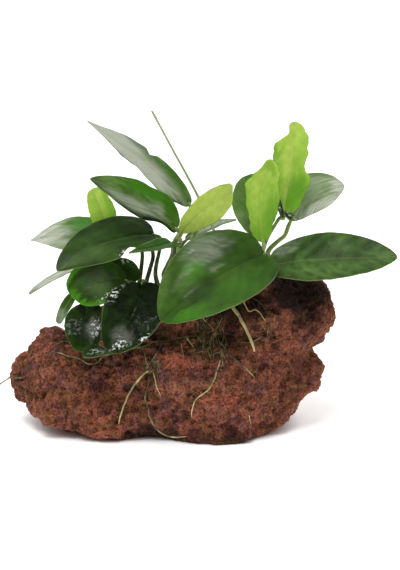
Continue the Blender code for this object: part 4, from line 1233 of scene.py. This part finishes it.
def rounded_ends(count, blunt):
    """Shares that round off the last rings of a tube."""
    return [min(1.0, math.sqrt((count - index) / blunt)) for index in range(count)]


class ANUBIAS_OT_stalks(bpy.types.Operator):
    """Build the stalks, grown into the rhizome and into their blades"""

    bl_idname = "anubias.stalks"
    bl_label = "Stalks"

    def execute(self, context):
        settings = context.scene.anubias_stalks
        finish = stalk_finish(settings)
        for node in sorted(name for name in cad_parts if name.startswith("stalk_")):
            route, radii = node_route(node)
            bare = node == "stalk_bare"
            start = route[0] + (route[0] - route[1]).normalized() * settings.join
            overrun = BARE_OVERRUN * MM if bare else settings.join
            end = route[-1] + (route[-1] - route[-2]).normalized() * overrun
            points = smooth_route([start, *route, end], ROUTE_STEP)
            count = len(points)
            thick = resampled([radii[0], *radii, radii[-1]], count)
            foot = [1 + FOOT_SWELL * math.exp(-index / SWELL_RINGS) for index in range(count)]
            knee = [1 + KNEE_SWELL * math.exp(-((count - KNEE_RINGS - index) / SWELL_RINGS) ** 2)
                    for index in range(count)]
            tips = rounded_ends(count, STALK_TIP)
            girth = settings.bare_girth if bare else 1.0
            thick = [a * b * c * d * girth for a, b, c, d in zip(thick, foot, knee, tips)]
            shape = tube(points, thick, STALK_SIDES)
            tone = shape.verts.layers.float.new("tone")
            dry = shape.verts.layers.float.new("dry")
            for vert in shape.verts:
                vert[tone] = STALK_TONES.get(node[len("stalk_"):], SHADED_STALK_TONE)
                vert[dry] = DRYNESS if bare else 0.0
            finished(f"{node}_skin", shape, finish, [node])
        return {"FINISHED"}


# -------------------------------------------------------------------------------------------------- the roots


class RootSettings(bpy.types.PropertyGroup):
    """The roots' colours and how deep they sit."""

    bed: FloatProperty(name="Bed", description="Height of a root's middle over the stone, in radii",
                       subtype="FACTOR", default=0.55, min=0, max=1)
    waviness: length_property("Waviness", "How far a root strays from its route", 0.7)
    lift: length_property("Lift", "How far the middle of a hair root stands off the stone", 0.7)
    girth: FloatProperty(name="Girth", description="Thickness of the roots over that of the part's",
                         default=0.9, min=0)
    cream: colour_property("Cream", "The cream skin of fresh roots", "#E0CC94")
    olive: colour_property("Olive", "The olive skin of older roots", "#686239")
    brown: colour_property("Brown", "The brown of a root's old parts", "#38301C")


ROOT_TONES = {
    "thick": 0.9, "forked": 0.95, "bowed_right": 0.15, "tangled": 0.2, "slanting": 0.35, "hooked": 0.6,
    "upright": 0.2, "level_right": 0.25, "long_left": 0.3, "short_left": 0.35, "pale_left": 0.85,
    "olive_middle": 0.35, "pale_middle": 1.0, "trailing": 0.4,
}
ROOT_SIDES = 8
ROOT_TIP = 5  # rings
THICK_GIRTH = 1.25  # of the thickest root, over that of the others
FREE_GAP = 3  # a root that is further from the stone isn't laid on it
BEND_WIDTH = 5  # of a root's wanderings
SMOOTHING_ROUNDS = 5
BEFORE_STONE = -150  # where rays that run towards the stone's front start
FINE_TAPER = 0.6


@dataclass
class FineRoot:
    """A thin root by its places seen from the front (x, z)."""

    name: str
    radius: float
    tone: float
    route: list


FINE_ROOTS = [
    FineRoot("beside_thick", 0.28, 0.25, [(30, 62), (33, 58), (36, 53), (38, 49)]),
    FineRoot("level_second", 0.30, 0.15, [(12, 46), (18, 45.5), (24, 45), (30, 45), (34, 45.5), (38, 47)]),
    FineRoot("dark_left", 0.32, 0.10, [(10, 46), (2, 46), (-6, 46), (-14, 46.5), (-20, 47)]),
    FineRoot("white_stub", 0.30, 1.0, [(10, 52.5), (12, 50), (14.5, 48)]),
    FineRoot("white_bit", 0.34, 1.0, [(3, 44.5), (5, 42.5), (7, 41)]),
    FineRoot("cream_bit", 0.25, 0.9, [(0.5, 42.5), (1.5, 39)]),
    FineRoot("low_bit", 0.22, 0.9, [(30.5, 12.5), (31.5, 8)]),
    FineRoot("fork_left", 0.30, 0.3, [(-8, 43), (-10, 40), (-12, 37), (-14.5, 33)]),
]


@dataclass
class Tangle:
    """Hair roots that cross in one patch of the stone's front."""

    name: str
    centre: tuple  # x and z of the patch's middle
    reach: tuple  # half its width and half its height
    hairs: int
    length: float
    lean: float  # degrees above level that the hairs run at
    stray: float  # degrees that a hair may run off that
    tone: float
    radius: float = 0.17


TANGLES = [
    Tangle("mossy_knot", (14.0, 45.0), (6.5, 5.5), 64, 8, 65, 65, 0.40, 0.13),
    Tangle("forked_moss", (-11, 34.5), (2.5, 3), 20, 5, 60, 60, 0.25, 0.13),
    Tangle("left_fringe", (-42, 41.5), (14, 2.5), 20, 10, 5, 30, 0.25),
    Tangle("middle_fringe", (-16, 45.0), (13, 2.5), 20, 12, 10, 20, 0.05),
    Tangle("low_tuft", (-12, 36), (3, 4), 12, 7, 75, 35, 0.25, 0.13),
]
HAIR_STEP = 2.0
HAIR_BEND = 28  # degrees that a hair root may turn at each step
HAIR_SIDES = 5
FEWEST_PLACES = 3  # of a hair root that is worth making
TONE_SPREAD = 0.3
DICE_SEED = 5


def root_finish(settings):
    """Aerial roots: fleshy, dull and cream where fresh, olive and brown where old."""
    made, tree, shader = new_material("fleshy_root_skin")
    place = wire(tree, "TexCoord", output="Object")
    along, tone = (wire(tree, "Attribute", attribute_name=name, output="Fac") for name in ("along", "tone"))
    drift = wire(tree, "TexNoise", {"Vector": place, "Scale": 1 / (2.4 * MM), "Detail": 4.0}, "Fac")
    fresh = wire(tree, "MapRange", {"Value": along, "From Min": 0.3, "From Max": 1.0, "To Max": 0.35})
    tone = wire(tree, "Math", {0: tone, 1: fresh}, operation="ADD")
    skin = toned(tree, tone, drift, (settings.brown, settings.olive, settings.cream),
                 spread=0.25, middle=0.45)
    bump = wire(tree, "Bump", {"Height": drift, "Strength": 0.4, "Distance": 0.15 * MM})
    gloss = wire(tree, "MapRange", {"Value": drift, "To Min": 0.5, "To Max": 0.75})
    feed(tree, shader, {"Base Color": skin, "Normal": bump, "Roughness": gloss,
                        "Subsurface Weight": 0.15, "Subsurface Radius": (1.0, 0.8, 0.4),
                        "Subsurface Scale": 0.6 * MM})
    return made


def laid(points, stone, radius, settings, lift=0.0):
    """The route bedded on the stone, with small wanderings, and smoothed over the stone's pits."""
    made = []
    for index, point in enumerate(points):
        moved = point + noise.noise_vector(point / (BEND_WIDTH * MM)) * settings.waviness
        near, normal, _, gap = stone.find_nearest(moved)
        raised = radius * settings.bed * MM + lift * math.sin(math.pi * index / (len(points) - 1))
        made.append(moved if gap > FREE_GAP * MM else near + normal * raised)
    for _ in range(SMOOTHING_ROUNDS):
        made[1:-1] = [(a + b * 2 + c) / 4 for a, b, c in zip(made, made[1:], made[2:])]
    return made


def root_piece(name, points, radii, tone_value, finish, nodes=()):
    """A root along the points, in one tone."""
    tips = rounded_ends(len(points), ROOT_TIP)
    shape = tube(points, [radius * tip for radius, tip in zip(radii, tips)], ROOT_SIDES)
    tone = shape.verts.layers.float.new("tone")
    for vert in shape.verts:
        vert[tone] = tone_value
    return finished(name, shape, finish, nodes)


def hair_route(tangle, dice, stone):
    """The places that one hair root passes on the stone's front."""
    x, z = (middle + dice.uniform(-1, 1) * reach for middle, reach in zip(tangle.centre, tangle.reach))
    angle = math.radians(tangle.lean + dice.uniform(-1, 1) * tangle.stray)
    count = round(tangle.length * dice.uniform(0.6, 1.0) / HAIR_STEP) + 1
    x -= math.cos(angle) * HAIR_STEP * count / 2
    z -= math.sin(angle) * HAIR_STEP * count / 2
    places = []
    for _ in range(count):
        hit = stone.ray_cast(millimetres(x, BEFORE_STONE, z), BACKWARDS)[0]
        if hit:
            places.append(hit)
        x += math.cos(angle) * HAIR_STEP
        z += math.sin(angle) * HAIR_STEP
        angle += math.radians(dice.uniform(-HAIR_BEND, HAIR_BEND))
    return places


class ANUBIAS_OT_roots(bpy.types.Operator):
    """Build the roots, bedded on the stone, and the fine ones among them"""

    bl_idname = "anubias.roots"
    bl_label = "Roots"

    def execute(self, context):
        noise.seed_set(NOISE_SEED)
        settings = context.scene.anubias_roots
        finish = root_finish(settings)
        stone = surface_of(bpy.data.objects["stone_skin"])
        for node in sorted(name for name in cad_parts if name.startswith("root_")):
            route, radii = node_route(node)
            points = smooth_route(route, ROUTE_STEP)
            girth = settings.girth * (THICK_GIRTH if node == "root_thick" else 1.0)
            thick = [radius * girth for radius in resampled(radii, len(points))]
            if node != "root_trailing":
                points = laid(points, stone, radii[0], settings)
            root_piece(f"{node}_skin", points, thick, ROOT_TONES[node[len("root_"):]], finish, [node])
        for root in FINE_ROOTS:
            places = [stone.ray_cast(millimetres(x, BEFORE_STONE, z), BACKWARDS)[0] for x, z in root.route]
            points = laid(smooth_route(places, ROUTE_STEP), stone, root.radius, settings)
            thick = resampled([root.radius, root.radius * FINE_TAPER], len(points))
            root_piece(f"fine_root_{root.name}", points, thick, root.tone, finish)
        dice = random.Random(DICE_SEED)
        for tangle in TANGLES:
            together = bmesh.new()
            tone = together.verts.layers.float.new("tone")
            for _ in range(tangle.hairs):
                places = hair_route(tangle, dice, stone)
                if len(places) < FEWEST_PLACES:
                    continue
                hair_tone = tangle.tone + dice.uniform(-TONE_SPREAD, TONE_SPREAD)
                points = laid(smooth_route(places, ROUTE_STEP), stone, tangle.radius, settings,
                              settings.lift * dice.random())
                thick = [tangle.radius * tip for tip in rounded_ends(len(points), ROOT_TIP)]
                before = len(together.verts)
                tube(points, thick, HAIR_SIDES, together)
                together.verts.ensure_lookup_table()
                for vert in together.verts[before:]:
                    vert[tone] = hair_tone
            finished(f"hair_roots_{tangle.name}", together, finish)
        return {"FINISHED"}


# -------------------------------------------------------------------------------------------------- the stage


class StageSettings(bpy.types.PropertyGroup):
    """The floor and the light."""

    floor: colour_property("Floor", "The pale floor", "#F8F8F8")
    floor_glow: FloatProperty(name="Floor glow", default=0.52, min=0,
                              description="Light that the floor itself gives, as a lit table does")
    contact: length_property("Contact", "How far from the stone the floor's own light fades", 14)
    lamp: FloatProperty(name="Lamp", description="Radiance of the lamp overhead", default=8.0, min=0)
    halo: FloatProperty(name="Halo", description="Radiance of the glow about the lamp", default=0.25, min=0)
    wall: FloatProperty(name="Wall", description="Radiance of the white wall behind", default=0.9, min=0)
    fill: FloatProperty(name="Fill", description="Radiance of the room all round", default=0.2, min=0)


LAMP_DIRECTION = (-0.15, -0.36, 0.92)
CAMERA_AIM = (9, 0, 63.5)
CAMERA_DISTANCE = 700.0
CAMERA_ELEVATION = 12.0
CAMERA_LENS = 95.8
SENSOR_WIDTH = 36
LAMP_ANGLES = (10, 16)  # degrees from its middle where the lamp starts to fade and has faded
HALO_ANGLES = (15, 60)
WALL_DEPTHS = (-0.1, 0.7)  # how far back a direction looks where the wall starts and is in full
FLOOR_REACH = 30  # metres
OPENNESS = (0.15, 0.60)  # where the floor's own light starts and is in full


def studio_sky(settings):
    """A white studio: a lamp and a broad glow overhead, a white wall behind, little light from the front."""
    world = bpy.data.worlds.new("white_studio")
    bpy.context.scene.world = world
    world.use_nodes = True
    tree = world.node_tree
    direction = wire(tree, "TexCoord", output="Generated")
    lamp = Vector(LAMP_DIRECTION).normalized()
    near = wire(tree, "VectorMath", {0: direction, 1: lamp}, "Value", operation="DOT_PRODUCT")
    parts = [settings.fill]
    lights = [(near, math.cos(math.radians(outer)), math.cos(math.radians(inner)), strength)
              for (inner, outer), strength in ((LAMP_ANGLES, settings.lamp), (HALO_ANGLES, settings.halo))]
    behind = wire(tree, "SeparateXYZ", {"Vector": direction}, "Y")
    for value, start, full, strength in (*lights, (behind, *WALL_DEPTHS, settings.wall)):
        parts.append(wire(tree, "MapRange", {"Value": value, "From Min": start, "From Max": full,
                                             "To Max": strength}, interpolation_type="SMOOTHSTEP"))
    glow = parts[0]
    for part in parts[1:]:
        glow = wire(tree, "Math", {0: glow, 1: part}, operation="ADD")
    feed(tree, tree.nodes["Background"], {"Color": (1, 1, 1, 1), "Strength": glow})


class ANUBIAS_OT_stage(bpy.types.Operator):
    """Set the floor, the light and the camera"""

    bl_idname = "anubias.stage"
    bl_label = "Stage"

    def execute(self, context):
        settings = context.scene.anubias_stage
        plane = bmesh.new()
        bmesh.ops.create_grid(plane, x_segments=1, y_segments=1, size=FLOOR_REACH)
        mesh = bpy.data.meshes.new("floor")
        plane.to_mesh(mesh)
        plane.free()
        floor = bpy.data.objects.new("floor", mesh)
        context.scene.collection.objects.link(floor)
        made, tree, shader = new_material("white_floor")
        # The floor's own light fades next to the stone: a painted contact shadow
        opened = wire(tree, "AmbientOcclusion", {"Distance": settings.contact}, "AO")
        start, full = OPENNESS
        glow = wire(tree, "MapRange",
                    {"Value": opened, "From Min": start, "From Max": full, "To Max": settings.floor_glow})
        feed(tree, shader, {"Base Color": settings.floor, "Roughness": 0.9, "Specular IOR Level": 0.0,
                            "Emission Color": settings.floor, "Emission Strength": glow})
        mesh.materials.append(made)

        studio_sky(settings)
        lens = bpy.data.cameras.new("camera")
        lens.lens = CAMERA_LENS
        lens.sensor_width = SENSOR_WIDTH
        camera = bpy.data.objects.new("camera", lens)
        context.scene.collection.objects.link(camera)
        target = millimetres(*CAMERA_AIM)
        tilt = math.radians(CAMERA_ELEVATION)
        camera.location = target + Vector((0, -math.cos(tilt), math.sin(tilt))) * CAMERA_DISTANCE * MM
        camera.rotation_euler = (target - camera.location).to_track_quat("-Z", "Y").to_euler()
        context.scene.camera = camera
        context.scene.view_settings.view_transform = "Standard"
        return {"FINISHED"}


# ------------------------------------------------------------------------------------------------- the add-on


class ANUBIAS_PT_panel(bpy.types.Panel):
    """The buttons that build the plant and its stage"""

    bl_label = "Anubias"
    bl_idname = "ANUBIAS_PT_panel"
    bl_space_type = "VIEW_3D"
    bl_region_type = "UI"
    bl_category = "Anubias"

    def draw(self, context):
        for operator in OPERATORS:
            self.layout.operator(operator.bl_idname)
        for name in SETTINGS:
            settings = getattr(context.scene, name)
            box = self.layout.box()
            box.label(text=type(settings).__doc__)
            for entry in settings.bl_rna.properties:
                if not entry.is_readonly and entry.identifier != "name":
                    box.prop(settings, entry.identifier)


SETTINGS = {
    "anubias_stone": StoneSettings,
    "anubias_rhizome": RhizomeSettings,
    "anubias_leaves": LeafSettings,
    "anubias_stalks": StalkSettings,
    "anubias_roots": RootSettings,
    "anubias_stage": StageSettings,
}
OPERATORS = [
    ANUBIAS_OT_stage,
    ANUBIAS_OT_stone,
    ANUBIAS_OT_rhizome,
    ANUBIAS_OT_leaves,
    ANUBIAS_OT_stalks,
    ANUBIAS_OT_roots,
]
CLASSES = (*SETTINGS.values(), *OPERATORS, ANUBIAS_PT_panel)


def register():
    for made in CLASSES:
        bpy.utils.register_class(made)
    for name, group in SETTINGS.items():
        setattr(bpy.types.Scene, name, PointerProperty(type=group))


def unregister():
    for name in SETTINGS:
        delattr(bpy.types.Scene, name)
    for made in reversed(CLASSES):
        bpy.utils.unregister_class(made)


def main():
    register()
    bpy.ops.anubias.stage()
    bpy.ops.anubias.stone()
    bpy.ops.anubias.rhizome()
    bpy.ops.anubias.leaves()
    bpy.ops.anubias.stalks()
    bpy.ops.anubias.roots()


if __name__ == "__main__":
    main()
